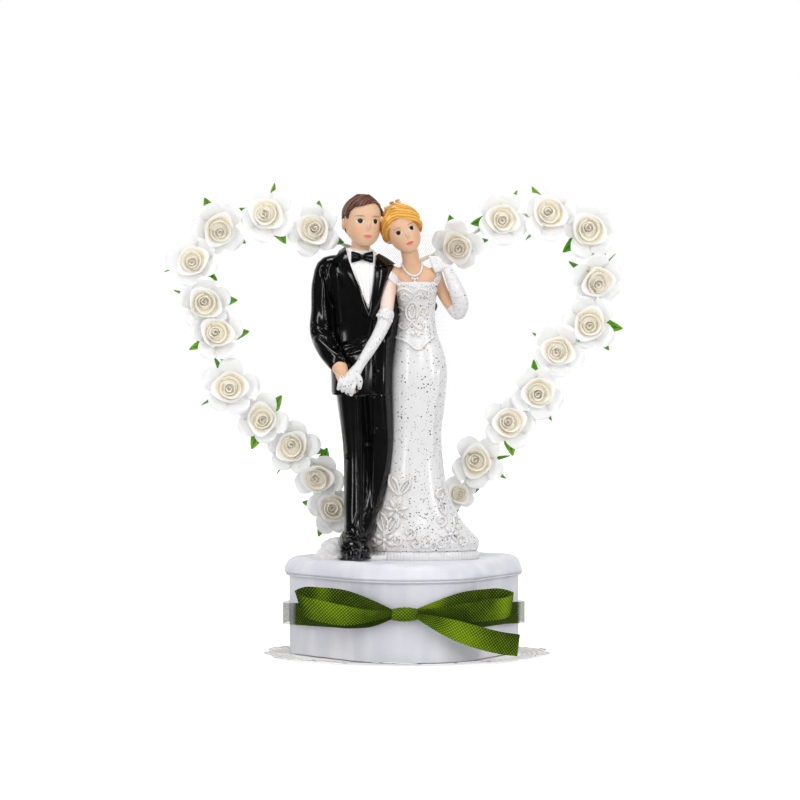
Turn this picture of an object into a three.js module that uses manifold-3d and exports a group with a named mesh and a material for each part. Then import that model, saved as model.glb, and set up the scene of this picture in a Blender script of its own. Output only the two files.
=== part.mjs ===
// A wedding cake topper: a satin heart box on a paper doily, tied with a ribbon bow, with a painted bride
// and groom on its lid and a wire heart of paper roses behind them.
// Millimetres, +Z up, +X to the right of the viewer, who stands at -Y. The origin is the centre of the
// underside. Tables named shares hold places and sizes as shares of the length named beside them.
import * as THREE from "three";
import { mergeVertices } from "three/addons/utils/BufferGeometryUtils.js";
import Module from "manifold-3d";

const wasm = await Module();
wasm.setup();

// Clearances
const fitGap = 0.3;
const weldTolerance = 0.0005;

// Doily
const doilyWidth = 120;
const doilyThickness = 0.8;
const doilyScallopDepth = 2;
const doilyScallops = 24;

// Heart box
const boxWidth = 96;
const wallHeight = 33.2;
const satinThickness = 0.8;
const boardThickness = 2;
const lidOverhang = 2;
const lidHeight = 6;
const lidEdgeDrop = 2.4;
const pipingWidth = 1;
const pipingHeight = 0.8;

// Ribbon and bow
const ribbonWidth = 9;
const ribbonThickness = 0.5;
const ribbonCentreHeight = 17;
const ribbonSlack = 2;
const bowWidth = 96;
const bowCentreX = -5.5;
const knotWidth = 12;
const knotHeight = 6;
const knotDepth = 5;

// Couple
const groomHeight = 151;
const groomHairThickness = 1.1;
const brideHairThickness = 1.8;
const bowTieWidth = 10;
const bowTieDepth = 2.6;
const shirtRecess = 0.7;
const beadDiameter = 1.3;
const waistFlowerWidth = 5;
const veilThickness = 0.6;
const veilFoldDepth = 0.9;
const veilFolds = 4;

// Arch
const archHalfWidth = 84;
const archHeight = 142;
const archX = -3;
const archStandOff = 2.8;
const wireDiameter = 2;
const wireDepthInLid = 12;
const roseRadius = 10.4;
const leafLength = 13.6;
const leafWidth = 5.4;
const leafThickness = 0.6;

// The heart's shape, as shares of the box's width
const lobeSpreadShare = 0.2083;
const lobeCentreYShare = 0.1042;
const tipRadiusShare = 0.3125;
const tipCentreYShare = -0.2292;

// Sizes that follow from the sizes above
const boxBottom = doilyThickness;
const lidBottom = boxBottom + wallHeight;
const lidTop = lidBottom + lidHeight;
const lobeSpread = lobeSpreadShare * boxWidth;
const lobeCentreY = lobeCentreYShare * boxWidth;
const lobeRadius = boxWidth / 2 - lobeSpread;
const tipRadius = tipRadiusShare * boxWidth;
const tipCentreY = tipCentreYShare * boxWidth;

// The couple is one casting, so its proportions are shares of the groom's height
const brideHeight = 0.98 * groomHeight;
const groomX = -0.119 * groomHeight;
const brideX = 0.033 * groomHeight;
const groomHeadHeight = 0.135 * groomHeight;
const brideHeadHeight = 0.123 * groomHeight;
const plinthWidth = 0.457 * groomHeight;
const plinthDepth = 0.219 * groomHeight;
const plinthHeight = 0.02 * groomHeight;
const plinthX = -0.023 * groomHeight;

// The arch stands behind the veil
const veilBackShare = 0.126;
const archY = veilBackShare * brideHeight + veilFoldDepth + veilThickness + archStandOff + wireDiameter / 2;

const colours = {
  paper: [0xf4f2ec, 0.9, 0],
  card: [0xb9a583, 0.9, 0],
  foam: [0xeeeeea, 0.95, 0],
  satin: [0xf1f1f6, 0.45, 0],
  ribbon: [0x567a0c, 0.55, 0],
  resin: [0xf6f4f1, 0.35, 0],
  black: [0x0c0c0e, 0.2, 0],
  skin: [0xf0bf9a, 0.4, 0],
  brown: [0x5b3c2e, 0.4, 0],
  blonde: [0xe0a13c, 0.4, 0],
  glove: [0xf3f0ee, 0.5, 0],
  tulle: [0xfafafa, 0.8, 0],
  petal: [0xf6f4ea, 0.85, 0],
  wire: [0xdfe3d2, 0.6, 0],
};

function materialOf(finish) {
  const [color, roughness, metalness] = colours[finish];
  return new THREE.MeshStandardMaterial({ color, roughness, metalness });
}

// Solids

function solidFrom(geometry) {
  const bare = geometry.clone();
  bare.deleteAttribute("normal");
  bare.deleteAttribute("uv");
  const merged = mergeVertices(bare, weldTolerance);
  const solid = new wasm.Manifold(
    new wasm.Mesh({
      numProp: 3,
      vertProperties: new Float32Array(merged.attributes.position.array),
      triVerts: new Uint32Array(merged.index.array),
    }),
  );
  return solid;
}

function geometryFrom(solid) {
  const mesh = solid.getMesh();
  const geometry = new THREE.BufferGeometry();
  geometry.setAttribute("position", new THREE.BufferAttribute(mesh.vertProperties, 3));
  geometry.setIndex(new THREE.BufferAttribute(mesh.triVerts, 1));
  geometry.computeVertexNormals();
  return geometry;
}

// The body that is left of a solid when a cut leaves crumbs beside it
function mainBody(solid) {
  return solid.decompose().reduce((best, body) => (body.volume() > best.volume() ? body : best));
}

// A closed body through rings of points, all with the same count, counterclockwise seen from the last ring
function loft(rings) {
  const sides = rings[0].length;
  const points = rings.flat();
  const index = [];
  for (let r = 0; r + 1 < rings.length; r++) {
    for (let s = 0; s < sides; s++) {
      const a = r * sides + s;
      const b = r * sides + ((s + 1) % sides);
      index.push(a, b, b + sides, a, b + sides, a + sides);
    }
  }
  const last = (rings.length - 1) * sides;
  points.push(middleOf(rings[0]), middleOf(rings[rings.length - 1]));
  for (let s = 0; s < sides; s++) {
    const t = (s + 1) % sides;
    index.push(points.length - 2, t, s, points.length - 1, last + s, last + t);
  }
  return solidFrom(indexed(points, index));
}

function indexed(points, index) {
  const geometry = new THREE.BufferGeometry();
  geometry.setAttribute("position", new THREE.Float32BufferAttribute(points.flatMap((p) => p.toArray()), 3));
  geometry.setIndex(index);
  return geometry;
}

function middleOf(ring) {
  return ring.reduce((sum, p) => sum.add(p), new THREE.Vector3()).divideScalar(ring.length);
}

// A level oval ring
function oval(x, y, z, halfWidth, halfDepth, sides) {
  return Array.from({ length: sides }, (_, s) => {
    const angle = (2 * Math.PI * s) / sides;
    return new THREE.Vector3(x + halfWidth * Math.cos(angle), y + halfDepth * Math.sin(angle), z);
  });
}

// A body of level ovals, each row a height, a centre x and y, a half width and a half depth,
// all as shares of one length
function ovalBody(shares, length, place, sides, grow = 0) {
  const lastRow = shares.length - 1;
  return loft(
    shares.map(([z, x, y, halfWidth, halfDepth], row) => {
      const reach = row === 0 ? -grow : row === lastRow ? grow : 0;
      return oval(
        place.x + x * length,
        place.y + y * length,
        place.z + z * length + reach,
        halfWidth * length + grow,
        halfDepth * length + grow,
        sides,
      );
    }),
  );
}

const forwards = new THREE.Vector3(0, 1, 0);
const upwards = new THREE.Vector3(0, 0, 1);

// A round limb along a path, each row x, y, z and a radius, all as shares of one length.
// Its rings are squared up to a direction that the path never takes.
function limb(shares, length, place, sides, grow = 0, square = forwards) {
  const centres = shares.map(([x, y, z]) => new THREE.Vector3(x, y, z).multiplyScalar(length).add(place));
  const last = centres.length - 1;
  const rings = centres.map((centre, i) => {
    const along = centres[Math.min(i + 1, last)].clone().sub(centres[Math.max(i - 1, 0)]).normalize();
    const side = square.clone().cross(along).normalize();
    const up = along.clone().cross(side);
    const reach = i === 0 ? -grow : i === last ? grow : 0;
    const radius = shares[i][3] * length + grow;
    return Array.from({ length: sides }, (_, s) => {
      const angle = (2 * Math.PI * s) / sides;
      return centre
        .clone()
        .addScaledVector(along, reach)
        .addScaledVector(side, radius * Math.cos(angle))
        .addScaledVector(up, radius * Math.sin(angle));
    });
  });
  return loft(rings);
}

// A round pebble: a low sphere with its own radius on each axis
function pebble(centre, radii) {
  const geometry = new THREE.SphereGeometry(1, 8, 5);
  geometry.scale(radii.x, radii.y, radii.z);
  geometry.translate(centre.x, centre.y, centre.z);
  return solidFrom(geometry);
}

// A straight slab under an outline drawn in x and y
function slab(outline, bottom, height, hole) {
  const shape = new THREE.Shape(outline);
  if (hole) shape.holes.push(new THREE.Path(hole));
  const geometry = new THREE.ExtrudeGeometry(shape, { depth: height, bevelEnabled: false });
  geometry.translate(0, 0, bottom);
  return solidFrom(geometry);
}

// A plate under an outline drawn in x and z, from the front face back along y
function frontPlate(outline, front, depth) {
  const geometry = new THREE.ExtrudeGeometry(new THREE.Shape(outline), { depth, bevelEnabled: false });
  geometry.rotateX(Math.PI / 2);
  geometry.translate(0, front + depth, 0);
  return solidFrom(geometry);
}

// A band of ribbon: each station has a centre and half of its width as a vector
function strip(stations, thickness, grow = 0) {
  const last = stations.length - 1;
  const rings = stations.map(({ centre, half }, i) => {
    const along = stations[Math.min(i + 1, last)].centre.clone().sub(stations[Math.max(i - 1, 0)].centre);
    const out = along.clone().cross(half).setLength(thickness / 2 + grow);
    const wide = half.clone().setLength(half.length() + grow);
    const reach = i === 0 ? -grow : i === last ? grow : 0;
    const end = centre.clone().addScaledVector(along.normalize(), reach);
    return [
      end.clone().add(wide).add(out),
      end.clone().sub(wide).add(out),
      end.clone().sub(wide).sub(out),
      end.clone().add(wide).sub(out),
    ];
  });
  return outwards(rings);
}

// A thin sheet: rows of points, given a thickness along y
function sheet(rows, thickness) {
  const back = new THREE.Vector3(0, thickness, 0);
  const columns = rows[0].length;
  const rings = rows.map((row) => [...row, ...row.map((p) => p.clone().add(back)).reverse()]);
  const index = [];
  const sides = 2 * columns;
  for (let r = 0; r + 1 < rings.length; r++) {
    for (let s = 0; s < sides; s++) {
      const a = r * sides + s;
      const b = r * sides + ((s + 1) % sides);
      index.push(a, b, b + sides, a, b + sides, a + sides);
    }
  }
  const last = (rings.length - 1) * sides;
  for (let c = 0; c + 1 < columns; c++) {
    const d = sides - 1 - c;
    index.push(c, d, c + 1, c + 1, d, d - 1);
    index.push(last + c, last + c + 1, last + d, last + c + 1, last + d - 1, last + d);
  }
  return solidFrom(indexed(rings.flat(), index));
}

// A loft whose rings may run either way round
function outwards(rings) {
  const solid = loft(rings);
  return solid.volume() > 0 ? solid : loft(rings.map((ring) => [...ring].reverse()));
}

function join(solids) {
  return solids.reduce((whole, solid) => whole.add(solid));
}

// Heart outline

function arcPoints(centreX, centreY, radius, from, to, steps) {
  return Array.from({ length: steps + 1 }, (_, i) => {
    const angle = from + ((to - from) * i) / steps;
    return new THREE.Vector2(centreX + radius * Math.cos(angle), centreY + radius * Math.sin(angle));
  });
}

// The heart of the box, moved outwards by an offset: an arc at the tip, an arc for each lobe, and the
// lines that touch both. Slack widens the lobes only, and a bridged outline runs straight over the notch.
function heartOutline(offset, slack = 0, bridged = false) {
  const tip = tipRadius + offset;
  const lobe = lobeRadius + offset + slack;
  const rise = lobeCentreY - tipCentreY;
  const distance = Math.hypot(lobeSpread, rise);
  const touch = Math.atan2(rise, lobeSpread) - Math.acos((tip - lobe) / distance);
  const end = bridged ? Math.PI / 2 : Math.PI - Math.acos(lobeSpread / lobe);
  const right = [
    ...arcPoints(0, tipCentreY, tip, -Math.PI / 2, touch, 6),
    ...arcPoints(lobeSpread, lobeCentreY, lobe, touch, end, 11),
  ];
  const left = right
    .slice(1, bridged ? undefined : -1)
    .reverse()
    .map((p) => new THREE.Vector2(-p.x, p.y));
  return [...right, ...left];
}

function raised(outline, z) {
  return outline.map((p) => new THREE.Vector3(p.x, p.y, z));
}

// Base

function doilyForm() {
  const count = doilyScallops * 3;
  const outline = Array.from({ length: count }, (_, i) => {
    const angle = (2 * Math.PI * i) / count;
    const wave = Math.abs(Math.sin((doilyScallops * angle) / 2));
    const radius = doilyWidth / 2 - doilyScallopDepth * (1 - wave);
    return new THREE.Vector2(radius * Math.cos(angle), radius * Math.sin(angle));
  });
  return slab(outline, 0, doilyThickness);
}

const wallInside = -satinThickness;
const insideOffset = wallInside - fitGap;

function baseBoard() {
  return slab(heartOutline(insideOffset), boxBottom, boardThickness);
}

function baseCore() {
  const core = slab(heartOutline(insideOffset), boxBottom + boardThickness, wallHeight - boardThickness);
  return core.subtract(wireSocket());
}

function baseWrap() {
  return slab(heartOutline(0), boxBottom, wallHeight, heartOutline(wallInside));
}

const lidBoardOffset = lidOverhang - satinThickness - fitGap;

function lidBoard() {
  return slab(heartOutline(lidBoardOffset), lidBottom, boardThickness).subtract(wireSocket());
}

// Each row: how far in from the edge as a share of the edge roll, and how far down as a share of the drop
const edgeRollShares = [
  [0.1, 2],
  [0, 1.4],
  [0.06, 1],
  [0.25, 0.5],
  [0.6, 0.15],
  [1.1, 0],
];
const edgeRoll = 6;

function lidCover() {
  const rings = edgeRollShares.map(([inShare, downShare]) =>
    raised(heartOutline(lidOverhang - inShare * edgeRoll), lidTop - downShare * lidEdgeDrop),
  );
  rings.unshift(raised(heartOutline(lidOverhang - edgeRollShares[0][0] * edgeRoll), lidBottom));
  const pocket = slab(
    heartOutline(lidBoardOffset + fitGap),
    lidBottom - fitGap,
    boardThickness + 2 * fitGap,
  );
  return loft(rings).subtract(pocket).subtract(wireSocket());
}

function lidPiping() {
  return slab(
    heartOutline(fitGap + pipingWidth),
    lidBottom - pipingHeight - fitGap,
    pipingHeight,
    heartOutline(fitGap),
  );
}

// The hole that the two ends of the arch wire go into
function wireSocket() {
  const radius = wireDiameter + fitGap;
  const geometry = new THREE.CylinderGeometry(radius, radius, 2 * (wireDepthInLid + fitGap), 12);
  geometry.rotateX(Math.PI / 2);
  geometry.translate(archX, archY, lidTop);
  return solidFrom(geometry);
}

// Ribbon

const ribbonBottom = ribbonCentreHeight - ribbonWidth / 2;

const bandInside = heartOutline(fitGap, ribbonSlack, true);
const bandOutside = heartOutline(fitGap + ribbonThickness, ribbonSlack, true);

function ribbonBand() {
  return slab(bandOutside, ribbonBottom, ribbonWidth, bandInside);
}

// The front of the band at a place along x, held at its widest place beyond its sides
function bandFront(x) {
  const widest = Math.max(...bandOutside.map((p) => p.x));
  const across = Math.min(Math.max(x, -widest), widest);
  const crossings = bandOutside
    .map((a, i) => [a, bandOutside[(i + 1) % bandOutside.length]])
    .filter(([a, b]) => a.x !== b.x && (a.x - across) * (b.x - across) <= 0)
    .map(([a, b]) => a.y + ((b.y - a.y) * (across - a.x)) / (b.x - a.x));
  return Math.min(...crossings);
}

// Each row: x of the centre, how far it stands off the band, z, and the half width as x, y and z, all as
// shares of the bow's width. The loops start at the back of the knot, turn at their far end and come back
// to its front.
const leftLoopShares = [
  [-0.052, 0.035, 0.047, 0, 0.002, 0.013],
  [-0.14, 0.058, 0.07, 0.002, 0.01, 0.03],
  [-0.24, 0.131, 0.092, 0.002, 0.014, 0.043],
  [-0.34, 0.231, 0.1, 0, 0.014, 0.044],
  [-0.41, 0.303, 0.096, -0.008, 0.008, 0.046],
  [-0.436, 0.36, 0.086, -0.014, 0, 0.044],
  [-0.42, 0.359, 0.07, -0.01, -0.004, 0.045],
  [-0.35, 0.297, 0.05, -0.002, -0.006, 0.046],
  [-0.25, 0.197, 0.034, 0, -0.006, 0.042],
  [-0.15, 0.107, 0.034, 0, -0.004, 0.026],
  [-0.052, 0.057, 0.045, 0, 0, 0.012],
];
const rightLoopShares = [
  [0.052, 0.016, 0.048, 0, 0.002, 0.013],
  [0.14, 0.02, 0.066, 0, 0.01, 0.028],
  [0.24, 0.026, 0.082, 0, 0.014, 0.042],
  [0.34, 0.068, 0.088, 0, 0.014, 0.045],
  [0.44, 0.178, 0.084, 0.004, 0.008, 0.046],
  [0.474, 0.232, 0.072, 0.006, 0, 0.046],
  [0.456, 0.233, 0.06, 0.006, -0.004, 0.045],
  [0.37, 0.151, 0.05, 0.002, -0.006, 0.046],
  [0.26, 0.067, 0.044, 0, -0.006, 0.04],
  [0.15, 0.045, 0.044, 0, -0.004, 0.024],
  [0.052, 0.036, 0.046, 0, 0, 0.012],
];
const leftTailShares = [
  [-0.052, 0.021, 0.03, 0, 0, 0.012],
  [-0.12, 0.025, 0.004, 0, 0, 0.036],
  [-0.2, 0.023, -0.003, 0, 0, 0.045],
  [-0.29, 0.019, -0.004, 0, 0, 0.046],
  [-0.36, 0.019, -0.004, 0, 0, 0.046],
  [-0.425, 0.02, -0.002, 0, 0, 0.046],
];
const rightTailShares = [
  [0.05, 0.051, 0.034, 0, 0, 0.012],
  [0.13, 0.069, 0.004, 0.004, -0.004, 0.03],
  [0.21, 0.091, -0.026, 0.006, -0.004, 0.042],
  [0.3, 0.142, -0.056, 0.008, -0.002, 0.046],
  [0.4, 0.254, -0.084, 0.008, 0, 0.046],
  [0.49, 0.348, -0.1, 0.006, 0, 0.046],
];

const knotFront = bandFront(bowCentreX) - fitGap - knotDepth;

function bowPart(shares) {
  const stations = shares.map(([along, standOff, up, halfX, halfY, halfZ]) => {
    const x = bowCentreX + along * bowWidth;
    return {
      centre: new THREE.Vector3(x, bandFront(x) - standOff * bowWidth, ribbonCentreHeight + up * bowWidth),
      half: new THREE.Vector3(halfX, halfY, halfZ).multiplyScalar(bowWidth),
    };
  });
  return strip(stations, ribbonThickness);
}

function bowKnot(grow = 0) {
  const middle = new THREE.Vector3(
    bowCentreX,
    knotFront + knotDepth / 2,
    ribbonCentreHeight + 0.42 * ribbonWidth,
  );
  return pebble(
    middle,
    new THREE.Vector3(knotWidth / 2 + grow, knotDepth / 2 + grow, knotHeight / 2 + grow),
  );
}

// Couple. Its frame has its origin at the middle of the lid's top.

const coupleBottom = fitGap;
const groomPlace = new THREE.Vector3(groomX, 0, 0);
const bridePlace = new THREE.Vector3(brideX, 0, 0);

// Rows of the level ovals: height, centre x, centre y, half width, half depth
const trouserLegShares = {
  front: [
    [0.064, -0.025, -0.03, 0.033, 0.04],
    [0.09, -0.025, -0.028, 0.031, 0.038],
    [0.13, -0.024, -0.022, 0.03, 0.038],
    [0.2, -0.022, -0.016, 0.031, 0.04],
    [0.3, -0.022, -0.01, 0.033, 0.042],
    [0.38, -0.026, -0.006, 0.038, 0.048],
    [0.449, -0.031, -0.004, 0.043, 0.054],
  ],
  back: [
    [0.066, 0.012, -0.014, 0.03, 0.038],
    [0.1, 0.014, -0.012, 0.029, 0.037],
    [0.16, 0.024, -0.006, 0.031, 0.037],
    [0.22, 0.036, -0.002, 0.035, 0.04],
    [0.3, 0.045, 0, 0.039, 0.044],
    [0.38, 0.041, 0, 0.042, 0.05],
    [0.449, 0.034, 0, 0.045, 0.054],
  ],
};
const torsoShares = [
  [0.453, -0.003, 0, 0.082, 0.064],
  [0.478, -0.003, 0, 0.083, 0.064],
  [0.54, -0.005, 0, 0.083, 0.062],
  [0.616, -0.007, 0, 0.085, 0.06],
  [0.7, -0.01, 0, 0.09, 0.063],
  [0.755, -0.011, 0, 0.094, 0.063],
  [0.795, -0.012, 0, 0.093, 0.057],
  [0.818, -0.01, 0.001, 0.07, 0.048],
  [0.832, -0.008, 0.002, 0.04, 0.037],
];
const collarShares = [
  [0.8, -0.007, 0.002, 0.033, 0.034],
  [0.845, -0.006, 0.002, 0.033, 0.034],
];
// Rows of a limb: x, y, z and radius
const nearSleeveShares = [
  [-0.084, 0, 0.796, 0.028],
  [-0.104, 0, 0.742, 0.032],
  [-0.113, -0.003, 0.682, 0.03],
  [-0.117, -0.015, 0.625, 0.03],
  [-0.1, -0.048, 0.574, 0.028],
  [-0.077, -0.074, 0.541, 0.026],
];
const farSleeveShares = [
  [0.062, 0.004, 0.79, 0.03],
  [0.1, 0.045, 0.748, 0.029],
  [0.15, 0.078, 0.712, 0.027],
  [0.206, 0.064, 0.694, 0.025],
];
const shirtFrontShares = [
  [-0.055, 0.845],
  [0.03, 0.845],
  [0.03, 0.81],
  [0.016, 0.672],
];
const frontShoeShares = [
  [-0.03, -0.008, 0.034, 0.024],
  [-0.03, -0.05, 0.036, 0.03],
  [-0.03, -0.09, 0.028, 0.026],
  [-0.03, -0.12, 0.02, 0.019],
  [-0.029, -0.136, 0.014, 0.011],
];
const backShoeShares = [
  [0.01, 0.01, 0.034, 0.022],
  [0.01, -0.03, 0.036, 0.027],
  [0.012, -0.066, 0.028, 0.023],
  [0.013, -0.09, 0.02, 0.015],
];

// A head from chin to crown: height, centre y, half width and half depth, as shares of its height
const headShares = [
  [0, -0.27, 0.1, 0.1],
  [0.07, -0.2, 0.21, 0.21],
  [0.18, -0.12, 0.3, 0.32],
  [0.36, -0.04, 0.37, 0.41],
  [0.55, 0, 0.39, 0.45],
  [0.75, 0.02, 0.37, 0.43],
  [0.9, 0.03, 0.27, 0.33],
  [1, 0.03, 0.11, 0.14],
];
const headSides = 14;

function skull(height, grow = 0, from = 0) {
  const rows = headShares.filter(([z]) => z >= from).map(([z, y, a, b]) => [z, 0, y, a, b]);
  return ovalBody(rows, height, new THREE.Vector3(), headSides, grow);
}

function headForm(height, grow = 0) {
  const ear = new THREE.Vector3(0.06 * height + grow, 0.08 * height + grow, 0.12 * height + grow);
  const nose = new THREE.Vector3(0.05 * height + grow, 0.07 * height + grow, 0.1 * height + grow);
  return join([
    skull(height, grow),
    pebble(new THREE.Vector3(-0.39 * height, 0.02 * height, 0.45 * height), ear),
    pebble(new THREE.Vector3(0.39 * height, 0.02 * height, 0.45 * height), ear),
    pebble(new THREE.Vector3(0, -0.43 * height, 0.42 * height), nose),
  ]);
}

// Everything below a plane that runs from the forehead down to the nape
function belowHairline(height, foreheadShare, napeShare) {
  const reach = 2 * height;
  const slope = (napeShare - foreheadShare) * height;
  const top = (side) => (side * slope * reach) / height + ((foreheadShare + napeShare) / 2) * height;
  const outline = [
    new THREE.Vector2(-reach, top(-1)),
    new THREE.Vector2(-reach, top(-1) - 3 * reach),
    new THREE.Vector2(reach, top(1) - 3 * reach),
    new THREE.Vector2(reach, top(1)),
  ];
  const geometry = new THREE.ExtrudeGeometry(new THREE.Shape(outline), {
    depth: 2 * reach,
    bevelEnabled: false,
  });
  geometry.translate(0, 0, -reach);
  geometry.applyMatrix4(
    new THREE.Matrix4().makeBasis(
      new THREE.Vector3(0, 1, 0),
      new THREE.Vector3(0, 0, 1),
      new THREE.Vector3(1, 0, 0),
    ),
  );
  return solidFrom(geometry);
}

function hairForm(height, thickness, foreheadShare, napeShare) {
  return skull(height, thickness, 0.18)
    .subtract(headForm(height, fitGap))
    .subtract(belowHairline(height, foreheadShare, napeShare));
}

// Places a solid made about the chin of a head
function placed(solid, place, lean, turn) {
  const geometry = geometryFrom(solid);
  geometry.applyMatrix4(
    new THREE.Matrix4().compose(
      place,
      new THREE.Quaternion().setFromEuler(new THREE.Euler(0, lean, turn, "ZYX")),
      new THREE.Vector3(1, 1, 1),
    ),
  );
  return solidFrom(geometry);
}

const groomHead = {
  place: new THREE.Vector3(groomX - 0.003 * groomHeight, 0.005 * groomHeight, 0.86 * groomHeight),
  lean: 0.04,
  turn: 0.2,
};
const brideHead = {
  place: new THREE.Vector3(brideX - 0.022 * brideHeight, -0.004 * brideHeight, 0.863 * brideHeight),
  lean: -0.36,
  turn: 0.05,
};
const onGroomHead = (solid) => placed(solid, groomHead.place, groomHead.lean, groomHead.turn);
const onBrideHead = (solid) => placed(solid, brideHead.place, brideHead.lean, brideHead.turn);

const figureSides = 16;
const limbSides = 10;

function trousers(grow = 0) {
  return join(
    Object.values(trouserLegShares).map((shares) =>
      ovalBody(shares, groomHeight, groomPlace, figureSides, grow),
    ),
  );
}

function sleeves(grow = 0) {
  return join(
    [nearSleeveShares, farSleeveShares].map((shares) =>
      limb(shares, groomHeight, groomPlace, limbSides, grow),
    ),
  );
}

function torso(grow = 0) {
  return ovalBody(torsoShares, groomHeight, groomPlace, figureSides, grow);
}

// The V of the shirt, from in front of the chest back into it
function shirtPlate(grow = 0) {
  const outline = shirtFrontShares.map(
    ([x, z]) => new THREE.Vector2(groomX + x * groomHeight, z * groomHeight),
  );
  const depth = 0.08 * groomHeight;
  return frontPlate(outline, -depth, 0.7 * depth + grow);
}

function collar(grow = 0) {
  return ovalBody(collarShares, groomHeight, groomPlace, limbSides, grow);
}

function shirt(grow = 0) {
  return shirtPlate().intersect(torso(grow - shirtRecess)).add(collar(grow)).subtract(groomNeck(fitGap));
}

function shirtOpening() {
  return shirtPlate(fitGap).add(collar(fitGap));
}

function groomNeck(grow = 0) {
  return ovalBody(
    [
      [0.805, -0.006, 0.004, 0.026, 0.027],
      [0.9, -0.004, 0.006, 0.026, 0.027],
    ],
    groomHeight,
    groomPlace,
    limbSides,
    grow,
  );
}

function groomHeadSolid(grow = 0) {
  return onGroomHead(headForm(groomHeadHeight, grow)).add(groomNeck(grow));
}

const bowTieShares = [
  [-0.5, 0.22],
  [-0.5, -0.22],
  [-0.12, -0.1],
  [0.12, -0.1],
  [0.5, -0.22],
  [0.5, 0.22],
  [0.12, 0.1],
  [-0.12, 0.1],
];

function bowTie(grow = 0) {
  const centreX = groomX - 0.006 * groomHeight;
  const centreZ = 0.828 * groomHeight;
  const outline = bowTieShares.map(
    ([x, z]) =>
      new THREE.Vector2(
        centreX + x * (bowTieWidth + 2 * grow),
        centreZ + z * (bowTieWidth + 2 * grow),
      ),
  );
  const chest = -0.0405 * groomHeight - fitGap;
  return frontPlate(outline, chest - bowTieDepth - grow, bowTieDepth + 2 * grow);
}

function groomHand(grow = 0) {
  return limb(
    [
      [-0.072, -0.08, 0.535, 0.019],
      [-0.066, -0.094, 0.518, 0.023],
      [-0.06, -0.104, 0.502, 0.014],
    ],
    groomHeight,
    groomPlace,
    limbSides,
    grow,
  );
}

const skirtShares = [
  [0.024, 0.018, 0.01, 0.151, 0.1],
  [0.047, 0.019, 0.01, 0.156, 0.104],
  [0.075, 0.012, 0.008, 0.142, 0.094],
  [0.1, 0.004, 0.006, 0.126, 0.084],
  [0.135, 0, 0.004, 0.11, 0.076],
  [0.17, -0.004, 0.002, 0.096, 0.07],
  [0.215, -0.005, 0, 0.084, 0.065],
  [0.27, -0.005, 0, 0.076, 0.061],
  [0.34, -0.004, 0, 0.071, 0.06],
  [0.44, 0.001, 0, 0.076, 0.062],
  [0.53, 0.004, 0, 0.078, 0.063],
  [0.585, 0.002, 0, 0.07, 0.057],
  [0.63, -0.004, 0, 0.059, 0.048],
];
const bodiceShares = [
  [0.632, -0.004, 0, 0.058, 0.047],
  [0.664, -0.004, 0, 0.053, 0.044],
  [0.698, -0.003, 0, 0.051, 0.043],
  [0.73, -0.006, -0.002, 0.057, 0.048],
  [0.757, -0.008, -0.004, 0.063, 0.052],
  [0.777, -0.008, -0.002, 0.06, 0.046],
];
const shouldersShares = [
  [0.779, -0.008, 0, 0.059, 0.042],
  [0.793, -0.008, 0, 0.065, 0.039],
  [0.807, -0.008, 0, 0.059, 0.034],
  [0.818, -0.012, 0, 0.039, 0.03],
  [0.828, -0.017, 0, 0.028, 0.026],
  [0.855, -0.023, -0.002, 0.025, 0.025],
  [0.885, -0.03, -0.002, 0.025, 0.025],
];

function skirt(grow = 0) {
  return ovalBody(skirtShares, brideHeight, bridePlace, 20, grow);
}

function bodice(grow = 0) {
  return ovalBody(bodiceShares, brideHeight, bridePlace, figureSides, grow);
}

function shoulders(grow = 0) {
  return ovalBody(shouldersShares, brideHeight, bridePlace, figureSides, grow);
}

const brideLimbShares = {
  upperArmRight: [
    [-0.077, -0.012, 0.795, 0.017],
    [-0.089, -0.038, 0.752, 0.016],
    [-0.095, -0.06, 0.7, 0.015],
    [-0.097, -0.068, 0.677, 0.015],
  ],
  gloveRight: [
    [-0.098, -0.07, 0.674, 0.021],
    [-0.118, -0.088, 0.63, 0.018],
    [-0.148, -0.102, 0.582, 0.016],
    [-0.174, -0.108, 0.542, 0.014],
    [-0.19, -0.112, 0.52, 0.02],
    [-0.206, -0.114, 0.496, 0.024],
    [-0.216, -0.113, 0.477, 0.015],
  ],
  upperArmLeft: [
    [0.052, 0.004, 0.8, 0.019],
    [0.068, 0.004, 0.752, 0.017],
    [0.09, 0.002, 0.715, 0.016],
  ],
  gloveLeft: [
    [0.116, -0.012, 0.687, 0.016],
    [0.118, -0.024, 0.71, 0.023],
    [0.108, -0.032, 0.745, 0.022],
    [0.09, -0.03, 0.79, 0.018],
    [0.074, -0.022, 0.822, 0.015],
    [0.062, -0.012, 0.838, 0.016],
  ],
};

function brideLimb(part, grow = 0) {
  return limb(brideLimbShares[part], brideHeight, bridePlace, limbSides, grow);
}

function brideHairForm() {
  const height = brideHeadHeight;
  const bun = pebble(
    new THREE.Vector3(0, 0.5 * height, 0.66 * height),
    new THREE.Vector3(0.26 * height, 0.22 * height, 0.24 * height),
  );
  return hairForm(height, brideHairThickness, 0.8, 0.26).add(bun.subtract(headForm(height, fitGap)));
}

// Three small blooms in the hair
function hairFlowers() {
  const height = brideHeadHeight;
  const size = new THREE.Vector3(0.1, 0.08, 0.1).multiplyScalar(height);
  const spots = [
    [-0.2, -0.3, 1.02],
    [-0.08, -0.32, 1.06],
    [0.05, -0.32, 1.06],
  ];
  return join(spots.map((spot) => pebble(new THREE.Vector3(...spot).multiplyScalar(height), size)));
}

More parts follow.
